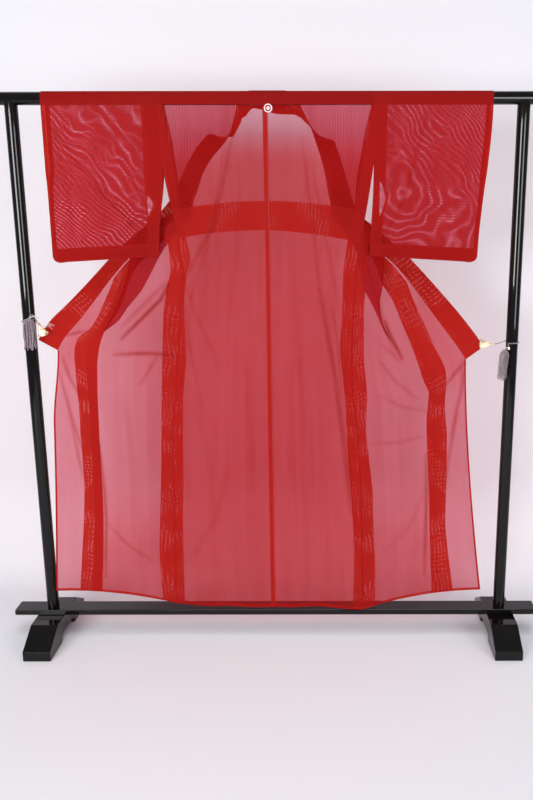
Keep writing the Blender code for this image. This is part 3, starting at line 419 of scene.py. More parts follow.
def contour_lines(tree, centre, fine, waves, sharp):
    """Thin wavy rings round a place in X and Z, as two layers of fine weave make together."""
    calc = functools.partial(math_node, tree)
    place = tree.nodes.new("ShaderNodeNewGeometry").outputs["Position"]
    x, _, z = parts(tree, place)
    x = calc("SUBTRACT", x, centre[0])
    z = calc("SUBTRACT", z, centre[1])
    rise = calc("ADD", x, z)
    fall = calc("SUBTRACT", x, z)
    round_part = calc("MULTIPLY", calc("MULTIPLY", fall, fall), 0.12)
    round_part = calc("MULTIPLY_ADD", calc("MULTIPLY", rise, rise), 0.5, round_part)
    phase = calc("MULTIPLY", round_part, fine)
    phase = calc("MULTIPLY_ADD", noise_at(tree, place, 5.5, 2.0, 0.5), waves, phase)
    phase = calc("MULTIPLY_ADD", noise_at(tree, place, 21.0, 1.0, 0.5), waves * 0.16, phase)
    ring = calc("SINE", calc("MULTIPLY", phase, FULL_TURN))
    ring = calc("MULTIPLY_ADD", ring, 0.5, 0.5)
    beads = calc("SINE", calc("MULTIPLY", z, FULL_TURN / RING_BEADS))
    where = smooth_step(tree, noise_at(tree, place, 9.0, 1.0, 0.5), 0.50, 0.58)
    beads = calc("MULTIPLY_ADD", calc("MULTIPLY", beads, where), 0.35, 0.85)
    return calc("MULTIPLY", calc("POWER", ring, sharp), beads), place


def upright_lines(tree):
    """Fine upright lines where front and back hang close together at the shoulders."""
    calc = functools.partial(math_node, tree)
    place = tree.nodes.new("ShaderNodeNewGeometry").outputs["Position"]
    x, _, z = parts(tree, place)
    bend = calc("MULTIPLY", noise_at(tree, place, 7.0, 1.0, 0.5), 13.0)
    line = calc("MULTIPLY_ADD", x, FULL_TURN / UPRIGHT_STEP, bend)
    line = calc("SINE", line)
    line = calc("MULTIPLY_ADD", line, 0.5, 0.5)
    wide = calc("ABSOLUTE", x)
    line = calc("MULTIPLY", line, smooth_step(tree, wide, 0.12, 0.15))
    return calc("MULTIPLY", line, smooth_step(tree, z, 1.42, 1.56))


def weave_beat(tree, uv, across, down):
    """Pale streaks and dots, in patches, where pressed layers of weave lie over one another."""
    calc = functools.partial(math_node, tree)
    bend = calc("MULTIPLY", noise_at(tree, uv, 8.0, 2.0, 0.5), 26.0)
    across = calc("MULTIPLY_ADD", across, FULL_TURN / BEAT_ACROSS, bend)
    down = calc("MULTIPLY_ADD", down, FULL_TURN / BEAT_DOWN, bend)
    streak = calc("MULTIPLY_ADD", calc("SINE", across), 0.5, 0.5)
    dash = calc("MULTIPLY_ADD", calc("SINE", down), 0.5, 0.5)
    kind = smooth_step(tree, noise_at(tree, uv, 13.0, 1.0, 0.5), 0.44, 0.56)
    dash = calc("MAXIMUM", dash, calc("MULTIPLY", kind, 0.85))
    patch = smooth_step(tree, noise_at(tree, uv, 10.0, 1.0, 0.5), 0.42, 0.56)
    return calc("MULTIPLY", calc("MULTIPLY", streak, dash), patch)


def silk_material(name, rings=None, strength=0.0):
    """Sheer silk: a share of the light goes straight between the threads, less for each layer."""
    mat, tree, out = blank_material(name)
    calc = functools.partial(math_node, tree)
    link = tree.links.new
    layers = attribute(tree, "layers")
    uv = tree.nodes.new("ShaderNodeUVMap")
    uv.uv_map = "cloth"
    uv = uv.outputs["UV"]
    drift = calc("MULTIPLY_ADD", noise_at(tree, uv, 7.0, 3.0, 0.55), 0.16, 0.92)
    fold = attribute(tree, "fold")
    across, down, _ = parts(tree, uv)
    hung = tree.nodes.new("ShaderNodeCombineXYZ")
    link(calc("MULTIPLY", across, 30.0), hung.inputs["X"])
    link(calc("MULTIPLY", down, 1.5), hung.inputs["Y"])
    drift = calc("MULTIPLY_ADD", noise_at(tree, hung.outputs[0], 1.0, 2.0, 0.5), 0.30, drift)
    drift = calc("SUBTRACT", drift, 0.15)
    count = calc("MULTIPLY", calc("ADD", layers, fold), drift)
    if rings:
        line, place = contour_lines(tree, *rings)
        patch = smooth_step(tree, noise_at(tree, place, 6.5, 1.0, 0.5), 0.36, 0.52)
        line = calc("MULTIPLY", line, calc("MULTIPLY_ADD", patch, 0.5, 0.5))
    else:
        line = upright_lines(tree)
    line = calc("MULTIPLY", line, calc("LESS_THAN", layers, 2.0))
    change = calc("MULTIPLY_ADD", line, -strength, strength * 0.36 + 1.0)
    count = calc("MULTIPLY", count, change)
    weft = calc("SINE", calc("MULTIPLY", down, FULL_TURN / WEFT_STEP))
    warp = calc("SINE", calc("MULTIPLY", across, FULL_TURN / WARP_STEP))
    threads = calc("MULTIPLY_ADD", weft, 0.06, 1.0)
    threads = calc("MULTIPLY_ADD", warp, 0.03, threads)
    beat = weave_beat(tree, uv, across, down)
    beat = calc("MULTIPLY", beat, calc("GREATER_THAN", layers, 3.05))
    beat = calc("MULTIPLY", beat, calc("LESS_THAN", layers, 4.3))
    count = calc("MULTIPLY", count, calc("MULTIPLY_ADD", beat, BEAT_LIFT, 1.0))
    count = calc("MULTIPLY", count, threads)
    clear = calc("POWER", CLEAR_RED, count)
    tint = tree.nodes.new("ShaderNodeCombineColor")
    tint.inputs[0].default_value = 1.0
    link(calc("POWER", CLEAR_GREEN / CLEAR_RED, count), tint.inputs[1])
    # Deeper cloth keeps less blue than the same share a layer would
    deeper = calc("MULTIPLY", count, calc("MULTIPLY_ADD", count, 0.14, 0.86))
    blue = calc("MULTIPLY", calc("POWER", CLEAR_BLUE, deeper), calc("POWER", 1 / CLEAR_RED, count))
    link(blue, tint.inputs[2])
    bump = node(tree, "ShaderNodeBump", Strength=0.30, Distance=0.003)
    link(noise_at(tree, uv, 38.0, 4.0, 0.6), bump.inputs["Height"])
    face = node(tree, "ShaderNodeBsdfPrincipled", Roughness=0.70)
    tone = two_tone(tree, noise_at(tree, uv, 300.0, 2.0, 0.6), 0.30, tuple(v * 0.90 for v in SILK_RED),
                    0.70, tuple(v * 1.08 for v in SILK_RED))
    # The thread colour is darkened where the fold attribute is high: painted shade in the creases
    shade = tree.nodes.new("ShaderNodeVectorMath")
    shade.operation = "SCALE"
    link(tone, shade.inputs[0])
    link(calc("MULTIPLY_ADD", fold, -0.45, 1.0, clamp=True), shade.inputs["Scale"])
    link(shade.outputs[0], face.inputs["Base Color"])
    face.inputs["Specular IOR Level"].default_value = 0.10
    face.inputs["Sheen Weight"].default_value = 0.03
    face.inputs["Sheen Roughness"].default_value = 0.4
    face.inputs["Sheen Tint"].default_value = (1.0, 0.30, 0.30, 1.0)
    link(bump.outputs["Normal"], face.inputs["Normal"])
    through = tree.nodes.new("ShaderNodeBsdfTranslucent")
    link(shade.outputs[0], through.inputs["Color"])
    link(bump.outputs["Normal"], through.inputs["Normal"])
    thread = node(tree, "ShaderNodeMixShader", Fac=0.40)
    link(face.outputs[0], thread.inputs[1])
    link(through.outputs[0], thread.inputs[2])
    gap = tree.nodes.new("ShaderNodeBsdfTransparent")
    link(tint.outputs[0], gap.inputs["Color"])
    mix = tree.nodes.new("ShaderNodeMixShader")
    link(clear, mix.inputs[0])
    link(thread.outputs[0], mix.inputs[1])
    link(gap.outputs[0], mix.inputs[2])
    link(mix.outputs[0], out.inputs["Surface"])
    return mat


def plain_material(name, scale, low, high, rough, bump_height, setup, edge=0.0):
    """Two-tone noise colour with fine bump on a Principled shader, whose constants setup() sets."""
    mat, tree, out = blank_material(name)
    link = tree.links.new
    place = tree.nodes.new("ShaderNodeTexCoord").outputs["Object"]
    fleck = noise_at(tree, place, scale, 4.0, 0.6)
    tone = two_tone(tree, fleck, 0.35, low, 0.68, high)
    shine = tree.nodes.new("ShaderNodeMapRange")
    shine.inputs["From Min"].default_value = 0.3
    shine.inputs["From Max"].default_value = 0.75
    shine.inputs["To Min"].default_value = rough[0]
    shine.inputs["To Max"].default_value = rough[1]
    link(fleck, shine.inputs["Value"])
    bump = node(tree, "ShaderNodeBump", Strength=0.25, Distance=bump_height)
    link(noise_at(tree, place, scale * 2.7, 3.0, 0.5), bump.inputs["Height"])
    if edge:
        rounded = node(tree, "ShaderNodeBevel", Radius=edge)
        rounded.samples = 6
        link(rounded.outputs[0], bump.inputs["Normal"])
    shader = tree.nodes.new("ShaderNodeBsdfPrincipled")
    for key, value in setup.items():
        shader.inputs[key].default_value = value
    link(tone, shader.inputs["Base Color"])
    link(shine.outputs[0], shader.inputs["Roughness"])
    link(bump.outputs["Normal"], shader.inputs["Normal"])
    link(shader.outputs[0], out.inputs["Surface"])
    return mat


SILK_BODY = silk_material("silk_red", None, 0.20)
SILK_COLLAR = silk_material("silk_collar")
SILK_SLEEVE = {-1: silk_material("silk_sleeve_left", ((-0.37, 1.66), 125.0, 7.0, 4.0), 0.85),
               1: silk_material("silk_sleeve_right", ((0.33, 1.50), 190.0, 8.0, 3.0), 0.75)}
LACQUER = plain_material("lacquer_black", 9.0, (0.0022, 0.0018, 0.0018), (0.0050, 0.0042, 0.0040),
                         (0.035, 0.07), 0.0002, {"Specular IOR Level": 0.28}, 0.0016)
GILT = plain_material("gilt_brass", 160.0, (0.80, 0.60, 0.36), (1.0, 0.88, 0.68), (0.24, 0.38), 0.0003,
                      {"Metallic": 1.0})
CORD = plain_material("cord_mauve", 420.0, (0.130, 0.090, 0.105), (0.380, 0.300, 0.330), (0.55, 0.75),
                      0.0003, {"Sheen Weight": 0.3})
PALE = plain_material("thread_pale", 420.0, (0.46, 0.42, 0.42), (0.80, 0.76, 0.77), (0.45, 0.65), 0.0002,
                      {"Sheen Weight": 0.2})
CREST = plain_material("crest_white", 600.0, (0.62, 0.50, 0.51), (0.90, 0.85, 0.85), (0.7, 0.85), 0.0002,
                       {"Sheen Weight": 0.1})


# Cloth surfaces, through the frame's own stations
def hang(v, side, radius=WRAP_R):
    """A point v metres down the cloth from the rail's top: side -1 toward the camera, 1 behind."""
    quarter = radius * math.pi / 2
    if v < quarter:
        a = v / radius
        return side * radius * math.sin(a), RAIL_Z + radius * math.cos(a)
    return side * radius, RAIL_Z - (v - quarter)


def row_height(v, side, c):
    z_end = HEM_CENTRE + (HEM_HEIGHT[side] - HEM_CENTRE) * c * c
    plain = RAIL_Z - (LENGTH - QUARTER)
    sag = SHOULDER_SAG * c * c * ease(v, 0.05, 0.30) * (1 - ease(v, 0.45, 1.3))
    return ease(v, 0.3, LENGTH) * (z_end - plain) - sag


def back_point(side, c, v):
    x_side = along(SIDE_SEAM[side], v)
    x = SEAM_GAP / 2 + c * (x_side - SEAM_GAP / 2)
    y, z = hang(v, -1)
    edge = ease(c, 0.55, 1.0) * ease(v, SLEEVE_JOIN, SLIT_END)
    y_side = along(SIDE_DEPTH[side], v)
    wave = 0.0
    if v > 0.1:
        grow = ease(v, 0.1, 1.0)
        wave = BACK_WAVE * grow * math.sin(FULL_TURN * (1.5 * c + 0.35 * v))
        wave = wave * (1 - c * c) * ease(c, 0, 0.3)
    slack = BACK_SLACK * ease(v, 0.25, 1.2) * (1 - c * c)
    y = y + (y_side - y) * edge + wave - slack
    return Vector((side * x, y, z + row_height(v, side, c)))


@functools.lru_cache(maxsize=None)
def side_front(side, v):
    """Side edge of the front at v."""
    y, z = hang(v, 1)
    f = ease(v, SLEEVE_JOIN, SLIT_END)
    y = y + (along(SIDE_DEPTH[side], v) + SEAM_BEHIND - y) * f
    x = along(SIDE_SEAM[side], v)
    return Vector((side * x, y, z + row_height(v, side, 1.0)))


@functools.lru_cache(maxsize=None)
def seam_front(side, v):
    """Collar seam, then the free front edge, at v."""
    if v <= 0.03:
        y, z = hang(v, 1)
        return Vector((side * NECK_HALF, y, z))
    if v <= COLLAR_END:
        x = along(COLLAR_SEAM[side], v, 1)
        s = along(COLLAR_SEAM[side], v, 2)
        y = along(COLLAR_SEAM[side], v, 3)
        return Vector((side * x, y, RAIL_Z + WRAP_R - s))
    top = seam_front(side, COLLAR_END)
    f = (v - COLLAR_END) / (LENGTH - COLLAR_END)
    x_end, z_end, y_end = FRONT_HEM[side]
    bulge = EDGE_BULGE * math.sin(math.pi * f)
    reach = 0.35 * ease(f, 0, 0.3) + 0.65 * f if side < 0 else f ** 1.35
    x = abs(top.x) + (x_end - abs(top.x)) * reach
    return Vector((side * x, top.y + (y_end - top.y) * f + bulge, top.z + (z_end - top.z) * f))


def cut_width(v):
    """Finished width of front and overlap together at v."""
    if v < OKUMI_TOP:
        return (BACK_WIDTH - NECK_HALF) + (FRONT_WIDTH - BACK_WIDTH + NECK_HALF) * v / OKUMI_TOP
    if v < COLLAR_END:
        return FRONT_WIDTH + OKUMI_WIDTH * (v - OKUMI_TOP) / (COLLAR_END - OKUMI_TOP)
    return FRONT_WIDTH + OKUMI_WIDTH


def drop_at(point):
    return RAIL_Z + WRAP_R - point.z


@functools.lru_cache(maxsize=None)
def row_turns(side, v):
    """Where a front row turns: (length, distance) of the pleat's outer turn, inner turn and the seam."""
    width = max(cut_width(v), FRONT_WIDTH)
    high = drop_at(side_front(side, v))
    low = drop_at(seam_front(side, v))
    x_side = abs(side_front(side, v).x)
    u_out = 0.5 * FRONT_WIDTH
    u_in = 0.75 * FRONT_WIDTH
    for _ in range(5):
        x_seam = along(OKUMI_SEAM[side], high + (low - high) * FRONT_WIDTH / width)
        x_out = max(x_side + 0.01, along(TURN_OUT[side], high + (low - high) * u_out / width))
        x_in = min(x_out, along(TURN_IN[side], high + (low - high) * u_in / width))
        first = x_out - x_side
        total = first + (x_out - x_in) + abs(x_seam - x_in)
        u_out = FRONT_WIDTH * first / total
        u_in = FRONT_WIDTH * (first + x_out - x_in) / total
    return (u_out, x_out), (u_in, x_in), (FRONT_WIDTH, x_seam)


def row_shape(side, v, size, u):
    """One point of a front row, u metres of cloth from the side seam; size is the belly of its slack."""
    a = side_front(side, v)
    b = seam_front(side, v)
    width = cut_width(v)
    t = u / width
    lift = a.z + (b.z - a.z) * (t + (t * t - t) * -FRONT_HEM_RISE * ease(v, 0.9, LENGTH))
    plain_x = abs(a.x) + (abs(b.x) - abs(a.x)) * t
    plain_x -= FOLD_IN[side] * ease(v, 0.02, 0.10) * math.sin(math.pi * t)
    spread_y = ease(v, 0.04, 0.1) * (1 - ease(v, 0.30, 0.42))
    plain_y = a.y + (b.y - a.y) * (t + 0.85 * spread_y * math.sin(4 * math.pi * t) / (4 * math.pi))
    turn = ease(v, 0.30, 0.42)
    if turn == 0.0:
        return Vector((side * plain_x, plain_y, lift))
    out, back_in, seam = row_turns(side, v)
    folded = min(1.0, (out[1] - back_in[1]) / 0.03) * (1 - ease(v, 0.90, 1.0))
    x = along([(0.0, abs(a.x)), seam, (width, abs(b.x))], u)
    least = 0.06 if side < 0 or v > 0.78 else 0.02
    if folded > least and back_in[0] < FRONT_WIDTH - 0.002:
        bend = (0.85 * out[0], abs(a.x) + 0.87 * (out[1] - abs(a.x)))
        rise = (back_in[0] + 0.15 * (seam[0] - back_in[0]), back_in[1] + 0.13 * (seam[1] - back_in[1]))
        turned = along([(0.0, abs(a.x)), bend, out, back_in, rise, seam, (width, abs(b.x))], u)
        x += (turned - x) * ease(folded, least, 0.25)
    depth = b.y - a.y
    y = a.y + depth * t
    if folded > least:
        h = max(0.001, min(0.008, 0.3 * (back_in[0] - out[0])))
        depths = [(0.0, 0.0), (out[0] - h, 0.10), (out[0] + h, 0.40), (back_in[0] - h, 0.45),
                  (back_in[0] + h, 0.75), (width, 1.0)]
        y += (a.y + depth * along(depths, u) - y) * folded
    y += 0.7 * size * ease(v, BELLY_TOP, 1.05) * math.sin(math.pi * t)
    return Vector((side * (plain_x + (x - plain_x) * turn), plain_y + (y - plain_y) * turn, lift))


@functools.lru_cache(maxsize=None)
def row_fit(side, mark):
    """Belly that keeps one lower row, at mark steps down, as long as the cut."""
    v = min(mark * BELLY_STEP, LENGTH)
    if v < BELLY_TOP:
        return 0.0
    target = cut_width(v) * (0.985 - 0.10 * (1 - ease(v, 0.85, 1.1)))
    low, high = 0.0, BELLY_MOST
    for _ in range(14):
        mid = (low + high) / 2
        pts = [row_shape(side, v, mid, cut_width(v) * i / 24) for i in range(25)]
        length = sum((pts[i + 1] - pts[i]).length for i in range(24))
        if length < target:
            low = mid
        else:
            high = mid
    return low


@functools.lru_cache(maxsize=None)
def row_size(side, v):
    """The rows' bellies, evened out down the cloth."""
    mark, part = divmod(v / BELLY_STEP, 1)
    sizes = [row_fit(side, int(mark) + k) for k in range(-3, 5)]
    return sum(sizes[:7]) / 7 * (1 - part) + sum(sizes[1:]) / 7 * part


def fold_at(folds, x, s):
    """Depth and added layers of the soft folds at (x, drop)."""
    depth = 0.0
    extra = 0.0
    for line, deep, half, layers in folds:
        best = 1.0
        at = 0.0
        for i in range(len(line) - 1):
            ax, ay = line[i]
            dx, dy = line[i + 1][0] - ax, line[i + 1][1] - ay
            f = min(1.0, max(0.0, ((x - ax) * dx + (s - ay) * dy) / (dx * dx + dy * dy)))
            gap = math.hypot(x - ax - dx * f, s - ay - dy * f)
            if gap < best:
                best = gap
                at = (i + f) / (len(line) - 1)
        if best < half * 3:
            fade = math.sin(math.pi * min(1.0, max(0.0, 0.06 + 0.88 * at))) ** 0.5
            depth += deep * fade * math.exp(-(best / half) ** 2)
            extra += layers * fade * math.exp(-(best / max(half * 0.60, 0.0055)) ** 2)
    return depth, extra


def cloth(name, grid, layer_of, uvs, material, folds=None, wrap=False, skip=None):
    """A sheet through a grid of points, with its count of layers on each face."""
    rows = len(grid)
    columns = len(grid[0])
    points = [p for row in grid for p in row]
    faces = []
    layers = []
    corners = []
    for j in range(rows if wrap else rows - 1):
        k = (j + 1) % rows
        for i in range(columns - 1):
            if skip and skip(i, j):
                continue
            faces.append((j * columns + i, j * columns + i + 1, k * columns + i + 1, k * columns + i))
            layers.append(layer_of(i, j))
            corners += [uvs(i, j), uvs(i + 1, j), uvs(i + 1, j + 1), uvs(i, j + 1)]
    ob = mesh_object(name, points, faces, material)
    mesh = ob.data
    count = mesh.attributes.new("layers", "FLOAT", "FACE")
    count.data.foreach_set("value", layers)
    extra = mesh.attributes.new("fold", "FLOAT", "POINT")
    extra.data.foreach_set("value", folds if folds else [0.0] * len(points))
    layer_map = mesh.uv_layers.new(name="cloth")
    for i, value in enumerate(corners):
        layer_map.data[i].uv = value
    mesh.shade_smooth()
    return ob


def dress(ob, replaced):
    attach(ob, "root")
    if replaced:
        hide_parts(*replaced)
    return ob


def steps(marks, counts):
    """Columns between marks, with a fixed count in each stretch, so that every row has as many."""
    values = [marks[0]]
    for a, b, n in zip(marks, marks[1:], counts):
        values += [a + (b - a) * k / n for k in range(1, n + 1)]
    return values


def stretch_of(counts):
    """Which stretch each column's face lies in."""
    return [k for k, n in enumerate(counts) for _ in range(n)]


def back_panel(side, word):
    """Half of the back, up over the rail to the shoulder line."""
    # centre seam line, its allowance, plain cloth, side allowance, side seam line
    counts = (1, 2, 84, 9, 1)
    where = stretch_of(counts)
    vs = spread(0.0, LENGTH, ROW_STEP, QUARTER, TUCK_TOP, TUCK_BOTTOM, LENGTH - BACK_HEM, 0.03, 0.05, 0.08)
    grid = []
    extra = []
    run = []
    for v in vs:
        edge = drop_at(back_point(side, 1.0, v))
        x_side = along(SIDE_SEAM[side], v)
        grown = ease(v, 0.0, 0.26)
        band = min(along(BACK_BAND[side], edge), x_side - 0.012)
        band = ((x_side - 0.005) * (1 - grown) + band * grown) / x_side
        cs = steps((0.0, SEAM_LINE / BACK_WIDTH, CENTRE_ALLOWANCE / BACK_WIDTH, band,
                    1 - SEAM_LINE / BACK_WIDTH, 1.0), counts)
        row = []
        for c in cs:
            lower = TUCK_SLANT[side] * c * ease(v, TUCK_TOP, TUCK_BOTTOM) * (1 - ease(v, TUCK_BOTTOM, 0.60))
            upper = TUCK_RISE[side] * c * ease(v, 0.15, TUCK_TOP) * (1 - ease(v, TUCK_TOP, TUCK_BOTTOM))
            p = back_point(side, c, v + lower + upper)
            s = drop_at(p)
            deep, more = fold_at(BACK_FOLDS, p.x, s)
            ripple = 0.0022 * ease(v, 0.35, 0.9) * noise.noise(Vector((p.x * 13, s * 3.1, 2.0)))
            fade = ease(v, 0.03, 0.14) * ease(1 - c, 0.0, 0.12) * ease(c, 0.0, 0.06)
            row.append(p + Vector((0, (ripple - deep * 0.8) * fade, 0)))
            extra.append(more * ease(v, 0.03, 0.12))
        grid.append(row)
        run.append([c * BACK_WIDTH for c in cs])

    def layer_of(i, j):
        v = (vs[j] + vs[j + 1]) / 2
        k = where[i]
        # The back's plain cloth counts under one layer near the top and more below it: painted shadow,
        # standing in for the kimono's own shadow on the wall seen through it
        plain = 0.54 + 0.83 * ease(v, 0.10, 0.22)
        n = (5.0, 3.0, plain, 3.5, 6.0)[k]
        if side > 0 and k < 2:
            n = (3.0, plain)[k]
        if v < 0.05:
            n = max(n, 3.0)
        if TUCK_TOP < v < TUCK_BOTTOM:
            n += 2.0
        if v > LENGTH - BACK_HEM:
            n += 2.5
        return n

    return cloth("back_sheet_" + word, grid, layer_of, lambda i, j: (run[j][i], vs[j]), SILK_BODY, extra)


def front_marks(side, v):
    """Lengths across a front row where its seam line, allowance, two turns and overlap seam lie."""
    out, back_in, seam = row_turns(side, v)
    x_side = abs(side_front(side, v).x)
    band = FRONT_ALLOWANCE
    if v > 0.42:
        level = drop_at(side_front(side, v))
        target = along(FRONT_BAND[side], level)
        low, high = 0.0, out[0]
        for _ in range(10):
            band = (low + high) / 2
            if abs(row_shape(side, v, 0.0, band).x) < target:
                low = band
            else:
                high = band
    band = min(max(band, 0.012), 0.9 * out[0])
    band += (0.005 - band) * (1 - ease(v, 0.0, 0.26))
    scale = min(1.0, cut_width(v) / FRONT_WIDTH)
    marks = (0.0, SEAM_LINE, band, out[0], back_in[0], FRONT_WIDTH - SEAM_LINE, FRONT_WIDTH)
    return [u * scale for u in marks]


def front_panel(side, word):
    """Front half, from the shoulder line down to the front hem, without the overlap."""
    # side seam line, its allowance, cloth up to the pleat, inside it and past it, overlap seam line
    counts = (1, 9, 30, 10, 28, 1)
    where = stretch_of(counts)
    vs = spread(0.0, LENGTH, ROW_STEP, QUARTER, 0.03, 0.05, LENGTH - HEM, SLIT_END, COLLAR_END)
    grid = []
    extra = []
    run = []
    for v in vs:
        size = row_size(side, v)
        us = steps(front_marks(side, v), counts)
        row = []
        for u in us:
            if v < QUARTER:
                y, z = hang(v, 1)
                x = NECK_HALF + (1 - u / us[-1]) * (BACK_WIDTH - NECK_HALF)
                row.append(Vector((side * x, y, z)))
                extra.append(0.0)
                continue
            p = row_shape(side, v, size, u)
            deep, more = fold_at(FRONT_FOLDS, p.x, drop_at(p))
            fade = ease(v, 0.40, 0.50) * ease(u, 0.0, 0.02) * ease(FRONT_WIDTH - u, 0.0, 0.02)
            ripple = 0.0020 * noise.noise(Vector((p.x * 12, p.z * 3.0, 5.0)))
            row.append(p + Vector((0, (ripple - deep * 0.7) * fade, 0)))
            extra.append(more * ease(v, 0.40, 0.50))
        grid.append(row)
        run.append(us)

    def layer_of(i, j):
        v = (vs[j] + vs[j + 1]) / 2
        plain = 1.0 + 0.25 * ease(v, 1.20, 1.50)
        n = (6.0, 3.3, plain, plain, plain, 3.4)[where[i]]
        if v > LENGTH - HEM:
            n += 2.0
        return n

    return cloth("front_sheet_" + word, grid, layer_of, lambda i, j: (run[j][i], vs[j]), SILK_BODY, extra)


def okumi_panel(side, word):
    """Overlap panel with its wide seam allowance and its narrow hems."""
    # seam line, two parts of the pressed allowance, plain cloth, rolled edge
    counts = (1, 9, 9, 26, 1)
    where = stretch_of(counts)
    vs = spread(OKUMI_TOP + 0.002, LENGTH, ROW_STEP, COLLAR_END, LENGTH - HEM)
    grid = []
    extra = []
    run = []
    for v in vs:
        size = row_size(side, v)
        width = cut_width(v) - FRONT_WIDTH
        seam = row_shape(side, v, size, FRONT_WIDTH)
        free = row_shape(side, v, size, FRONT_WIDTH + width)
        share = 0.45
        across = abs(free.x - seam.x)
        if across > 0.004:
            share = (along(OKUMI_BAND[side], drop_at((seam + free) / 2)) - abs(seam.x)) / across
        band = min(max(share, 0.15), 0.90) * width
        line = min(SEAM_LINE, 0.1 * width)
        roll = min(EDGE_ROLL, 0.06 * width)
        us = steps((0.0, line, 0.45 * band, band, width - roll, width), counts)
        row = []
        for u in us:
            p = row_shape(side, v, size, FRONT_WIDTH + u)
            deep, more = fold_at(FRONT_FOLDS, p.x, drop_at(p))
            fade = ease(v, 0.40, 0.50) * ease(u, 0.0, 0.02) * ease(width - u, 0.0, 0.01)
            row.append(p - Vector((0, deep * 0.7 * fade, 0)))
            extra.append(more * ease(v, 0.45, 0.55))
        grid.append(row)
        run.append([FRONT_WIDTH + u for u in us])

    def layer_of(i, j):
        v = (vs[j] + vs[j + 1]) / 2
        plain = 0.93 + 0.25 * ease(v, 0.60, 0.75) * (1 - ease(v, 0.85, 1.0))
        n = (6.0, 3.9, 3.3, plain, 5.0 if v > COLLAR_END else plain)[where[i]]
        if side < 0 and where[i] == 1:
            n = 4.6
        if v > LENGTH - HEM:
            n += 2.0
        return n

    return cloth("okumi_sheet_" + word, grid, layer_of,
                 lambda i, j: (run[j][i], vs[j]), SILK_BODY, extra)


def sleeve_point(side, s, f, v):
    x = BACK_WIDTH + SEAM_GAP + f * SLEEVE_WIDTH
    x -= SLEEVE_PULL[side] * f * ease(v, 0.05, SLEEVE_DROP)
    x += SLEEVE_SWING[side] * (1 - f) * ease(v, SLEEVE_JOIN, SLEEVE_DROP)
    y, z = hang(v, s)
    drop = ease(v, SLEEVE_JOIN, SLIT_END)
    y = y + ((SLEEVE_FAR_Y if s > 0 else SLEEVE_NEAR_Y) - y) * drop
    tip = ease(v, SLEEVE_DROP - 0.03, SLEEVE_DROP)
    y = y + (SLEEVE_MIDDLE_Y - y) * tip * 0.55
    close = ease(f, 0.72, 1.0) * ease(v, CUFF_OPEN, CUFF_OPEN + 0.05)
    y = y + (SLEEVE_MIDDLE_Y - y) * close * 0.5
    z += 0.019 * ease(v, 0.2, SLEEVE_DROP) * (1 - f)
    low = v - (SLEEVE_DROP - SLEEVE_CORNER)
    if low > 0:
        inset = SLEEVE_CORNER - math.sqrt(max(SLEEVE_CORNER ** 2 - low ** 2, 0.0))
        x -= inset * ease(f, 0.85, 1.0)
    return Vector((side * x, y, z))


def sleeve_tube(side, word):
    """The sleeve all round, sewn shut at the bottom and below the cuff opening."""
    # seam line, allowance, the parted strip in it, allowance, plain cloth, cuff allowance, cuff edge
    counts = (1, 1, 3, 2, 70, 2, 1)
    where = stretch_of(counts)
    near = SLEEVE_ALLOWANCE / SLEEVE_WIDTH
    cuff = 1 - SLEEVE_EDGE / SLEEVE_WIDTH
    first, last, widest, distance, width = EDGE_PARTS[side]
    down = spread(0.0, SLEEVE_DROP, ROW_STEP, QUARTER, CUFF_OPEN, SLEEVE_DROP - SLEEVE_HEM,
                  SLEEVE_DROP - 0.010, SLEEVE_DROP - 0.004, first, widest, last)
    loop = [(-1, v) for v in reversed(down)] + [(1, v) for v in down[1:]]
    grid = []
    extra = []
    run = []
    for s, v in loop:
        part_a = max(0.012, (distance - abs(sleeve_point(side, s, 0.0, v).x)) / SLEEVE_WIDTH)
        level = v + WRAP_R - QUARTER
        swell = 0.0
        if first < level < last:
            swell = (level - first) / (widest - first)
            if level >= widest:
                swell = (last - level) / (last - widest)
        swell = abs(width) / SLEEVE_WIDTH * swell ** 0.8
        part_b = part_a + 0.0006
        if width > 0:
            part_b += swell
        else:
            part_a -= swell
        if s > 0 and swell:
            part_a = max(0.010, part_a - 0.3 * swell)
            part_b += 0.3 * swell
        edge = max(near, part_b + 0.012)
        line = SEAM_LINE / SLEEVE_WIDTH
        fs = steps((0.0, line, part_a, part_b, edge, 1 - (1 - cuff) * 1.5, cuff, 1.0), counts)
        row = []
        for f in fs:
            p = sleeve_point(side, s, f, v)
            deep, more = fold_at(SLEEVE_FOLDS[side], p.x, drop_at(p))
            fade = ease(v, 0.03, 0.10) * (1 - ease(v, SLEEVE_DROP - 0.06, SLEEVE_DROP)) * ease(f, 0, 0.1)
            fade *= 1 - ease(f, 0.9, 1.0)
            row.append(p - Vector((0, deep * fade if s < 0 else 0.0, 0)))
            extra.append(more * fade if s < 0 else 0.0)
        grid.append(row)
        run.append([f * SLEEVE_WIDTH for f in fs])

    def layer_of(i, j):
        v = (loop[j][1] + loop[(j + 1) % len(loop)][1]) / 2
        level = v + WRAP_R - QUARTER
        n = (4.0, 2.3, 2.3, 2.3, 1.2, 2.3, 4.0)[where[i]]
        if where[i] == 2 and first < level < last:
            return 0.8 if loop[j][0] < 0 else 0.2
        if v > SLEEVE_DROP - SLEEVE_HEM:
            n += 1.2
        if v < 0.05 and loop[j][0] < 0:
            n = max(n, 3.0)
        return n

    lengths = [(v if s > 0 else -v) for s, v in loop]
    return cloth("sleeve_tube_" + word, grid, layer_of,
                 lambda i, j: (run[min(j, len(run) - 1)][i], lengths[min(j, len(lengths) - 1)]),
                 SILK_SLEEVE[side], extra)


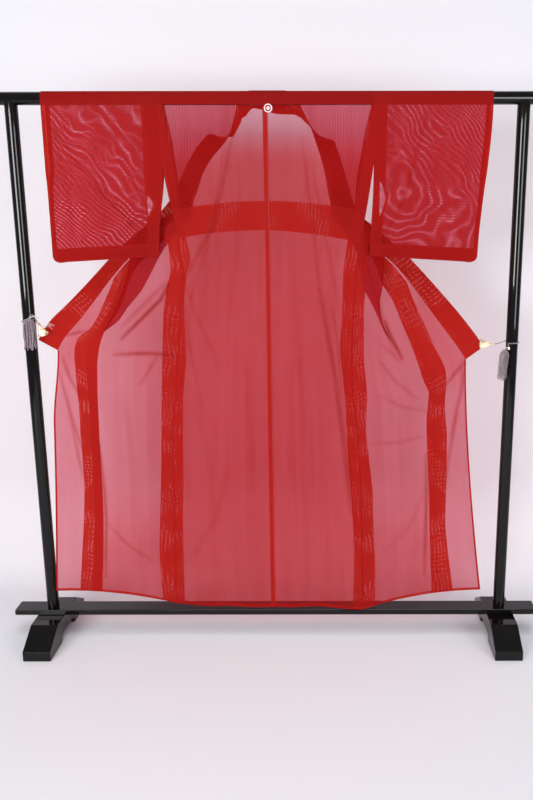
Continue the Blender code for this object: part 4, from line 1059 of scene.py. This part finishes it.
def collar_point(side, v, f):
    """A point of the collar beside its seam at v, at fraction f of its width."""
    base = seam_front(side, v)
    ahead = seam_front(side, min(v + 0.01, COLLAR_END))
    behind = seam_front(side, max(v - 0.01, 0.03))
    t = (ahead - behind).normalized()
    out = Vector((side * -t.z, 0, side * t.x)).normalized()
    w = COLLAR_WIDTH + (COLLAR_WIDTH_TIP - COLLAR_WIDTH) * ease(v, 0.3, COLLAR_END)
    tilt = 0.12 + 0.55 * ease(v, 0.25, 0.5) * (1 - ease(v, 0.6, 0.86))
    outward = out * math.cos(tilt) + Vector((0, 1, 0)) * math.sin(tilt)
    turn = ease(v, 0.08, 0.18)
    if turn < 1.0:
        key = min(v, 0.10)
        free = Vector((side * along(COLLAR_FREE[side], key, 1), along(COLLAR_FREE[side], key, 3),
                       RAIL_Z + WRAP_R - along(COLLAR_FREE[side], key, 2)))
        hanging = (free - seam_front(side, key)).normalized()
        roll = Vector((0, 1, 0)) * 1.1 * math.sin(math.pi * turn)
        outward = (hanging * (1 - turn) + outward * turn + roll).normalized()
    aside = Vector((-side, 0, 0)) * 0.0018 * (1 - ease(v, 0.03, 0.12))
    return base + aside + outward * (w * f - 0.0006)


def collar_band():
    """The folded collar: behind the rail at the neck, then turned outward along both fronts."""
    across = spread(0.0, 1.0, 0.07)
    radius = RAIL_R + CLEAR + 0.0008 + COLLAR_THICK / 2
    vs = spread(0.03, COLLAR_END, 0.012)
    necks = spread(0.008, NAPE_HALF, 0.008)
    stations = [(-1, "seam", v) for v in reversed(vs)] + [(-1, "neck", x) for x in reversed(necks)]
    stations += [(1, "neck", 0.0)] + [(1, "neck", x) for x in necks] + [(1, "seam", v) for v in vs]
    grid = []
    for side, kind, key in stations:
        row = []
        for f in across:
            if kind == "seam":
                row.append(collar_point(side, key, f))
                continue
            x_free = along(COLLAR_FREE[side], key - NAPE_HALF, 1)
            reach = along(COLLAR_FREE[side], key - NAPE_HALF, 2) + radius * math.pi / 2 - WRAP_R
            start = 0.024 * ease(key, 0.045, 0.09) + SEAM_GAP + 0.0003
            y, z = hang(start + (reach - start) * f, 1, radius)
            y += 0.003 * f * ease(key, 0.045, NAPE_HALF)
            row.append(Vector((side * (key + (x_free - key) * f), y, z)))
        grid.append(row)
    run = [0.0]
    for a, b in zip(grid, grid[1:]):
        run.append(run[-1] + (b[0] - a[0]).length)
    return cloth("collar_band", grid, lambda i, j: 4.0,
                 lambda i, j: (run[min(j, len(run) - 1)], across[i] * COLLAR_WIDTH), SILK_COLLAR)


def crest():
    """A plain round badge woven white on the centre back: a ring with a small row of bars in it."""
    turn = 40
    verts = []
    faces = []

    def place(x, s):
        side = -1 if x < 0 else 1
        p = back_point(side, abs(x) / BACK_WIDTH, s - WRAP_R + QUARTER)
        return (x, p.y - CREST_PROUD, p.z)

    for r in (CREST_R, CREST_R * 0.80):
        for k in range(turn):
            a = FULL_TURN * k / turn
            verts.append(place(CREST_AT[0] + r * math.cos(a), CREST_AT[1] + r * math.sin(a)))
    for k in range(turn):
        m = (k + 1) % turn
        faces.append((k, m, turn + m, turn + k))
    for x, half in ((-0.45, 0.22), (-0.15, 0.48), (0.15, 0.48), (0.45, 0.22)):
        start = len(verts)
        for u, w in ((-0.085, -half), (0.085, -half), (0.085, half), (-0.085, half)):
            verts.append(place(CREST_AT[0] + CREST_R * (x + u), CREST_AT[1] + CREST_R * w))
        faces.append((start, start + 1, start + 2, start + 3))
    return mesh_object("crest", verts, faces, CREST)


def mesh_object(name, verts, faces, mat, smooth=None):
    mesh = bpy.data.meshes.new(name)
    mesh.from_pydata(verts, [], faces)
    mesh.materials.append(mat)
    if smooth:
        mesh.shade_smooth()
        mesh.set_sharp_from_angle(angle=math.radians(smooth))
    ob = bpy.data.objects.new(name, mesh)
    bpy.context.scene.collection.objects.link(ob)
    return ob


def ring_faces(base, rings, sides):
    """Faces between rings of points that follow one another."""
    faces = []
    for j in range(rings - 1):
        low = base + j * sides
        high = low + sides
        for k in range(sides):
            m = (k + 1) % sides
            faces.append((low + k, high + k, high + m, low + m))
    return faces


def end_caps(base, rings, sides):
    """Caps of the first and the last ring."""
    last = base + (rings - 1) * sides
    return [tuple(base + k for k in range(sides)), tuple(last + k for k in reversed(range(sides)))]


def round_bar(name, stations, sides=64, axis="X"):
    """A smooth round bar through (place along the axis, radius) stations, with end caps."""
    verts = []
    for place, r in stations:
        for k in range(sides):
            a = FULL_TURN * k / sides
            y, z = r * math.cos(a), r * math.sin(a)
            verts.append((place, y, z) if axis == "X" else (y, z, place))
    faces = ring_faces(0, len(stations), sides) + end_caps(0, len(stations), sides)
    return mesh_object(name, verts, faces, LACQUER, 40)


def smooth_route(points, step):
    """Points no further apart than step on a smooth curve through a route's own points."""
    route = []
    for i in range(len(points) - 1):
        p0, p1 = points[max(i - 1, 0)], points[i]
        p2, p3 = points[i + 1], points[min(i + 2, len(points) - 1)]
        n = max(1, math.ceil((p2 - p1).length / step))
        for k in range(n):
            f = k / n
            route.append(0.5 * ((2 * p1) + (p2 - p0) * f + (2 * p0 - 5 * p1 + 4 * p2 - p3) * f * f
                                + (3 * p1 - p0 - 3 * p2 + p3) * f ** 3))
    route.append(points[-1])
    return route


def twisted(verts, faces, path, radius, pitch, sides=5, taper=1.0):
    """Adds cord of two plies along a path: each ply is a round strand that winds round the middle."""
    plies = 2
    strand = radius / 2.0
    off = radius - strand
    run = 0.0
    last = None
    frames = []
    for i, p in enumerate(path):
        t = (path[min(i + 1, len(path) - 1)] - path[max(i - 1, 0)]).normalized()
        ref = last if last is not None else Vector((0.31, 0.87, 0.38))
        u = (ref - t * ref.dot(t)).normalized()
        last = u
        if i:
            run += (p - path[i - 1]).length
        frames.append((p, u, t.cross(u), run))
    for ply in range(plies):
        base = len(verts)
        for i, (p, u, w, run) in enumerate(frames):
            a = FULL_TURN * (run / pitch + ply / plies)
            thin = 1.0 + (taper - 1.0) * i / (len(frames) - 1)
            middle = p + (u * math.cos(a) + w * math.sin(a)) * off * thin
            for k in range(sides):
                b = FULL_TURN * k / sides
                verts.append(middle + (u * math.cos(b) + w * math.sin(b)) * strand * thin)
        faces += ring_faces(base, len(frames), sides) + end_caps(base, len(frames), sides)


def tie_cord(side, word):
    """From the clip's bead round the back of the post to the knot in front of it."""
    x0, z0 = TIE[side]["bead"]
    level = TIE[side]["height"]
    reach = POST_R + CORD_SHOWN + 0.0004
    tx, tz = TIE[side]["tassel"]
    start = Vector((side * (x0 + 0.0062), 0.0, z0 + 0.0012))
    first = Vector((side * (POST_X + reach * math.cos(math.radians(150))), reach * 0.5, level))
    points = [start]
    if (first - start).length > 0.012:
        points.append(start.lerp(first, 0.5) - Vector((0, 0, 0.001)))
    for k in range(TURNS_ROUND_POST[side]):
        a = math.radians(150 - 20 * k)
        x = side * (POST_X + reach * math.cos(a))
        points.append(Vector((x, reach * math.sin(a), level - 0.0003 * k)))
    points.append(Vector((side * tx, -POST_R - KNOT_R - 0.0012, tz + 0.006)))
    verts = []
    faces = []
    twisted(verts, faces, smooth_route(points, 0.0012), CORD_SHOWN, 0.0066)
    return mesh_object("tie_cord_" + word, verts, faces, CORD, 60)


def fan_clip(side, word):
    """A ribbed fan on each face of the collar's tip, with a scalloped rim, joined at its bead."""
    x0, z0 = TIE[side]["bead"]
    turn = math.radians(TIE[side]["open"])
    half = math.radians(FAN_SPREAD / 2)
    ribs = 7
    rings = (0.10, 0.22, 0.36, 0.50, 0.64, 0.78, 0.90, 1.0)
    inner = COLLAR_THICK / 2 + 0.0004
    verts = []
    faces = []
    columns = ribs * 4 + 1
    for face in (-1, 1):
        start = len(verts)
        for skin in (0, 1):
            for ring in rings:
                for k in range(columns):
                    across = 2 * k / (columns - 1) - 1
                    wave = 0.5 - 0.5 * math.cos(FULL_TURN * ribs * (across + 1) / 2)
                    rim = 1 - 0.05 * (1 - wave) * ease(ring, 0.8, 1.0)
                    a = half * across * (1.0 + 0.15 * ring)
                    r = FAN_LENGTH * ring * rim
                    dome = (CLIP_THICK / 2 - inner) * (0.35 + 0.65 * (1 - across * across))
                    dome *= 1 - 0.45 * ring
                    raise_rib = 0.0011 * wave * ease(ring, 0.05, 0.5)
                    y = inner + (0.0 if skin == 0 else 0.0008 + dome * 0.6 + raise_rib)
                    u, w = r * math.cos(a), r * math.sin(a)
                    c, s = math.cos(turn), math.sin(turn)
                    verts.append((side * (x0 + u * c - w * s), CLIP_Y + face * y, z0 + u * s + w * c))
        grid = len(rings) * columns
        for skin in (0, 1):
            for j in range(len(rings) - 1):
                for k in range(columns - 1):
                    a = start + skin * grid + j * columns + k
                    faces.append((a, a + 1, a + columns + 1, a + columns))
        edge = list(range(columns)) + [columns * (j + 1) - 1 for j in range(1, len(rings))]
        edge += [columns * (len(rings) - 1) + k for k in reversed(range(columns - 1))]
        edge += [columns * j for j in reversed(range(1, len(rings) - 1))]
        for a, b in zip(edge, edge[1:] + edge[:1]):
            faces.append((start + a, start + b, start + grid + b, start + grid + a))
    ball = len(verts)
    sides = 16
    rings = 9
    for j in range(rings):
        b = math.pi * j / (rings - 1)
        for k in range(sides):
            a = FULL_TURN * k / sides
            ridge = 1 + 0.05 * math.cos(8 * a)
            r = 0.0040 * math.sin(b) * ridge
            verts.append((side * x0 + r * math.cos(a), CLIP_Y + r * math.sin(a), z0 + 0.0044 * math.cos(b)))
    faces += [(a, d, c, b) for a, b, c, d in ring_faces(ball, rings, sides)]
    return mesh_object("fan_clip_" + word, verts, faces, GILT, 50)


def cap_bead(side, word):
    """The gilt cap that gathers the tassel's cords, with a turned rim."""
    tx, tz = TIE[side]["tassel"]
    profile = ((0.0046, 0.0006), (0.0042, 0.0022), (0.0028, 0.0037), (0.0012, 0.0044), (-0.0004, KNOT_R),
               (-0.0016, 0.0037), (-0.0024, 0.0041), (-0.0034, 0.0046), (-0.0042, 0.0043), (-0.0045, 0.0012))
    sides = 24
    verts = []
    for z, r in profile:
        for k in range(sides):
            a = FULL_TURN * k / sides
            bump = r * (1 + 0.06 * math.cos(8 * a) * ease(0.0035 - abs(z), 0, 0.002))
            verts.append((side * tx + bump * math.cos(a), TASSEL_Y + bump * math.sin(a), tz + z))
    faces = end_caps(0, len(profile), sides) + ring_faces(0, len(profile), sides)
    return mesh_object("cap_bead_" + word, verts, faces, GILT, 50)


def tassel_skirt(side, word):
    """Plied cords that fall from the head beside the post; the left ones arch up over it first."""
    tx, tz = TIE[side]["tassel"]
    long = TIE[side]["length"]
    verts = []
    faces = []
    skirt = SKIRT[side]
    home = Vector((side * (tx - skirt["shift"]), TASSEL_Y, tz))
    for k in range(skirt["count"]):
        a = GOLDEN_ANGLE * k
        share = math.sqrt((k + 0.5) / skirt["count"])
        spread_r = skirt["spread"] * share
        wobble = noise.noise(Vector((k * 1.7, side * 3.0, 0.5)))
        dx, dy = spread_r * math.cos(a), spread_r * 0.72 * math.sin(a)
        end = long * (1 - 0.13 * (0.5 + 0.5 * math.sin(7.3 * k)) - 0.05 * share)
        points = [Vector((0.0022 * math.cos(a), 0.0022 * math.sin(a), -0.004))]
        if skirt["rise"]:
            top = skirt["rise"] * (1 - 0.4 * share)
            points.append(Vector((dx * 0.45, dy * 0.45, top)))
            points.append(Vector((dx * 0.85, dy * 0.85, top * 0.35)))
        points.append(Vector((dx, dy, -0.018)))
        for f in (0.35, 0.6, 0.82, 1.0):
            sway = 0.0022 * math.sin(5.5 * f + 2.1 * k) * f - skirt["lean"] * f
            points.append(Vector((dx * (1.02 + 0.12 * f * wobble) + sway, dy, -0.018 - (end - 0.018) * f)))
        route = smooth_route([home + p for p in points], 0.0022)
        twisted(verts, faces, route, skirt["radius"], skirt["pitch"], sides=4, taper=0.88)
    return mesh_object("tassel_skirt_" + word, verts, faces, CORD, 60)


def loose_strands(side, word):
    """Fine strands that have worked loose from the tassel and curl round the clip."""
    tx, tz = TIE[side]["tassel"]
    x0, z0 = TIE[side]["bead"]
    verts = []
    faces = []
    for k in range(LOOSE_COUNT[side]):
        n1 = noise.noise(Vector((k * 2.3, 1.0 * side, 4.0)))
        n2 = noise.noise(Vector((k * 1.1, 2.0 * side, 9.0)))
        start = Vector((side * (tx - 0.004), TASSEL_Y + 0.002, tz + 0.002))
        if side < 0:
            middle = Vector((side * (x0 + 0.004 - 0.012 * k / 10), -0.012, z0 + 0.018 + 0.008 * n1))
            low = z0 - 0.004 - 0.030 * n2 - 0.004 * (k % 3)
            end = Vector((side * (x0 - 0.020 - 0.030 * (k % 5) / 4), -0.008, low))
        else:
            low = tz - 0.016 - 0.018 * (k % 3)
            middle = Vector((side * (tx - 0.022 - 0.010 * (k % 4) / 3), -0.016, low))
            end = Vector((side * (tx - 0.008 - 0.010 * n1), -0.018, tz - 0.062 - 0.030 * (k % 3) / 2))
        points = [start, start.lerp(middle, 0.55) + Vector((0, 0, 0.010 * (1 + n1))), middle,
                  middle.lerp(end, 0.5) + Vector((-side * 0.003 * n2, 0, -0.003)), end]
        twisted(verts, faces, smooth_route(points, 0.002), 0.00045, 0.003, sides=4)
    return mesh_object("loose_strands_" + word, verts, faces, PALE, 60)


for side, word in SIDES:
    back = dress(back_panel(side, word), ["back_" + word])
    front = dress(front_panel(side, word), ["front_" + word])
    okumi = dress(okumi_panel(side, word), ["okumi_" + word])
    sleeve = dress(sleeve_tube(side, word), ["sleeve_" + word])
collar = dress(collar_band(), ["collar"])
dress(crest(), [])

rail = round_bar("rail_bar", ((-RAIL_HALF, RAIL_R - 0.004), (-RAIL_HALF + 0.0012, RAIL_R - 0.0012),
                              (-RAIL_HALF + 0.004, RAIL_R), (RAIL_HALF - 0.004, RAIL_R),
                              (RAIL_HALF - 0.0012, RAIL_R - 0.0012), (RAIL_HALF, RAIL_R - 0.004)))
rail.location = (0, 0, RAIL_Z)
dress(rail, ["rail"])
for side, word in SIDES:
    post = round_bar("post_bar_" + word, ((post_low.z, POST_R), (RAIL_Z - RAIL_R * 0.55, POST_R)), axis="Z")
    post.location = (side * POST_X, 0, 0)
    dress(post, ["post_" + word])
    dress(tie_cord(side, word), ["cord_" + word])
    dress(fan_clip(side, word), ["clip_" + word])
    dress(cap_bead(side, word), ["bead_" + word])
    dress(tassel_skirt(side, word), ["tassel_" + word])
    dress(loose_strands(side, word), [])
for name in ("foot_left", "foot_right", "stretcher"):
    bpy.data.objects[name].data.materials.clear()
    bpy.data.objects[name].data.materials.append(LACQUER)


# Stage and light
def stage_material():
    mat, tree, out = blank_material("stage")
    link = tree.links.new
    shader = node(tree, "ShaderNodeBsdfPrincipled", Roughness=0.85)
    shader.inputs["Base Color"].default_value = (0.640, 0.640, 0.672, 1)
    shader.inputs["Specular IOR Level"].default_value = 0.2
    facing = tree.nodes.new("ShaderNodeNewGeometry")
    gone = tree.nodes.new("ShaderNodeBsdfTransparent")
    mix = tree.nodes.new("ShaderNodeMixShader")
    link(facing.outputs["Backfacing"], mix.inputs[0])
    link(shader.outputs[0], mix.inputs[1])
    link(gone.outputs[0], mix.inputs[2])
    link(mix.outputs[0], out.inputs["Surface"])
    return mat


def sweep():
    """Floor and wall in one sheet, seen from its front only."""
    wall_y, radius, top = 0.62, 0.34, 3.8
    profile = [(-6.0, 0.0), (-3.0, 0.0), (wall_y - radius, 0.0)]
    for k in range(1, 13):
        a = math.pi / 2 * k / 12
        profile.append((wall_y - radius + radius * math.sin(a), radius - radius * math.cos(a)))
    profile.append((wall_y, top))
    verts = [(x, y, z) for y, z in profile for x in (-5.0, 5.0)]
    faces = [(2 * i, 2 * i + 1, 2 * i + 3, 2 * i + 2) for i in range(len(profile) - 1)]
    ob = mesh_object("sweep", verts, faces, stage_material(), 80)


def area_light(name, place, target, size, power, colour, beam=180):
    data = bpy.data.lights.new(name, "AREA")
    data.spread = math.radians(beam)
    data.shape = "RECTANGLE"
    data.size, data.size_y = size
    data.energy = power
    data.color = colour
    ob = bpy.data.objects.new(name, data)
    bpy.context.scene.collection.objects.link(ob)
    ob.location = place
    ob.rotation_euler = (Vector(target) - Vector(place)).to_track_quat("-Z", "Y").to_euler()


sweep()
area_light("key", (-1.7, -3.5, 1.40), (0.0, 0.0, 0.78), (1.5, 1.3), 132, (1.0, 0.99, 0.99))
area_light("fill", (2.3, -3.2, 1.25), (0.0, 0.0, 0.66), (1.3, 1.5), 68, (0.98, 0.98, 1.0))
area_light("top", (0.0, -2.7, 3.6), (0.0, -0.3, 0.4), (3.0, 1.2), 20, (1.0, 1.0, 1.0))
area_light("low", (0.3, -1.3, 4.2), (0.3, 0.10, 0.1), (3.0, 2.4), 12.0, (1.0, 1.0, 1.0), 60)
area_light("wall", (0.2, -0.1, 3.6), (0.2, 0.62, 0.75), (3.2, 0.5), 2.4, (1.0, 1.0, 1.0), 32)
world = bpy.data.worlds.new("studio")
bpy.context.scene.world = world
world.use_nodes = True
world.node_tree.nodes["Background"].inputs[0].default_value = (0.92, 0.91, 0.94, 1)
world.node_tree.nodes["Background"].inputs[1].default_value = 0.28
bpy.context.scene.cycles.transparent_max_bounces = 24
bpy.context.scene.view_settings.view_transform = "Standard"
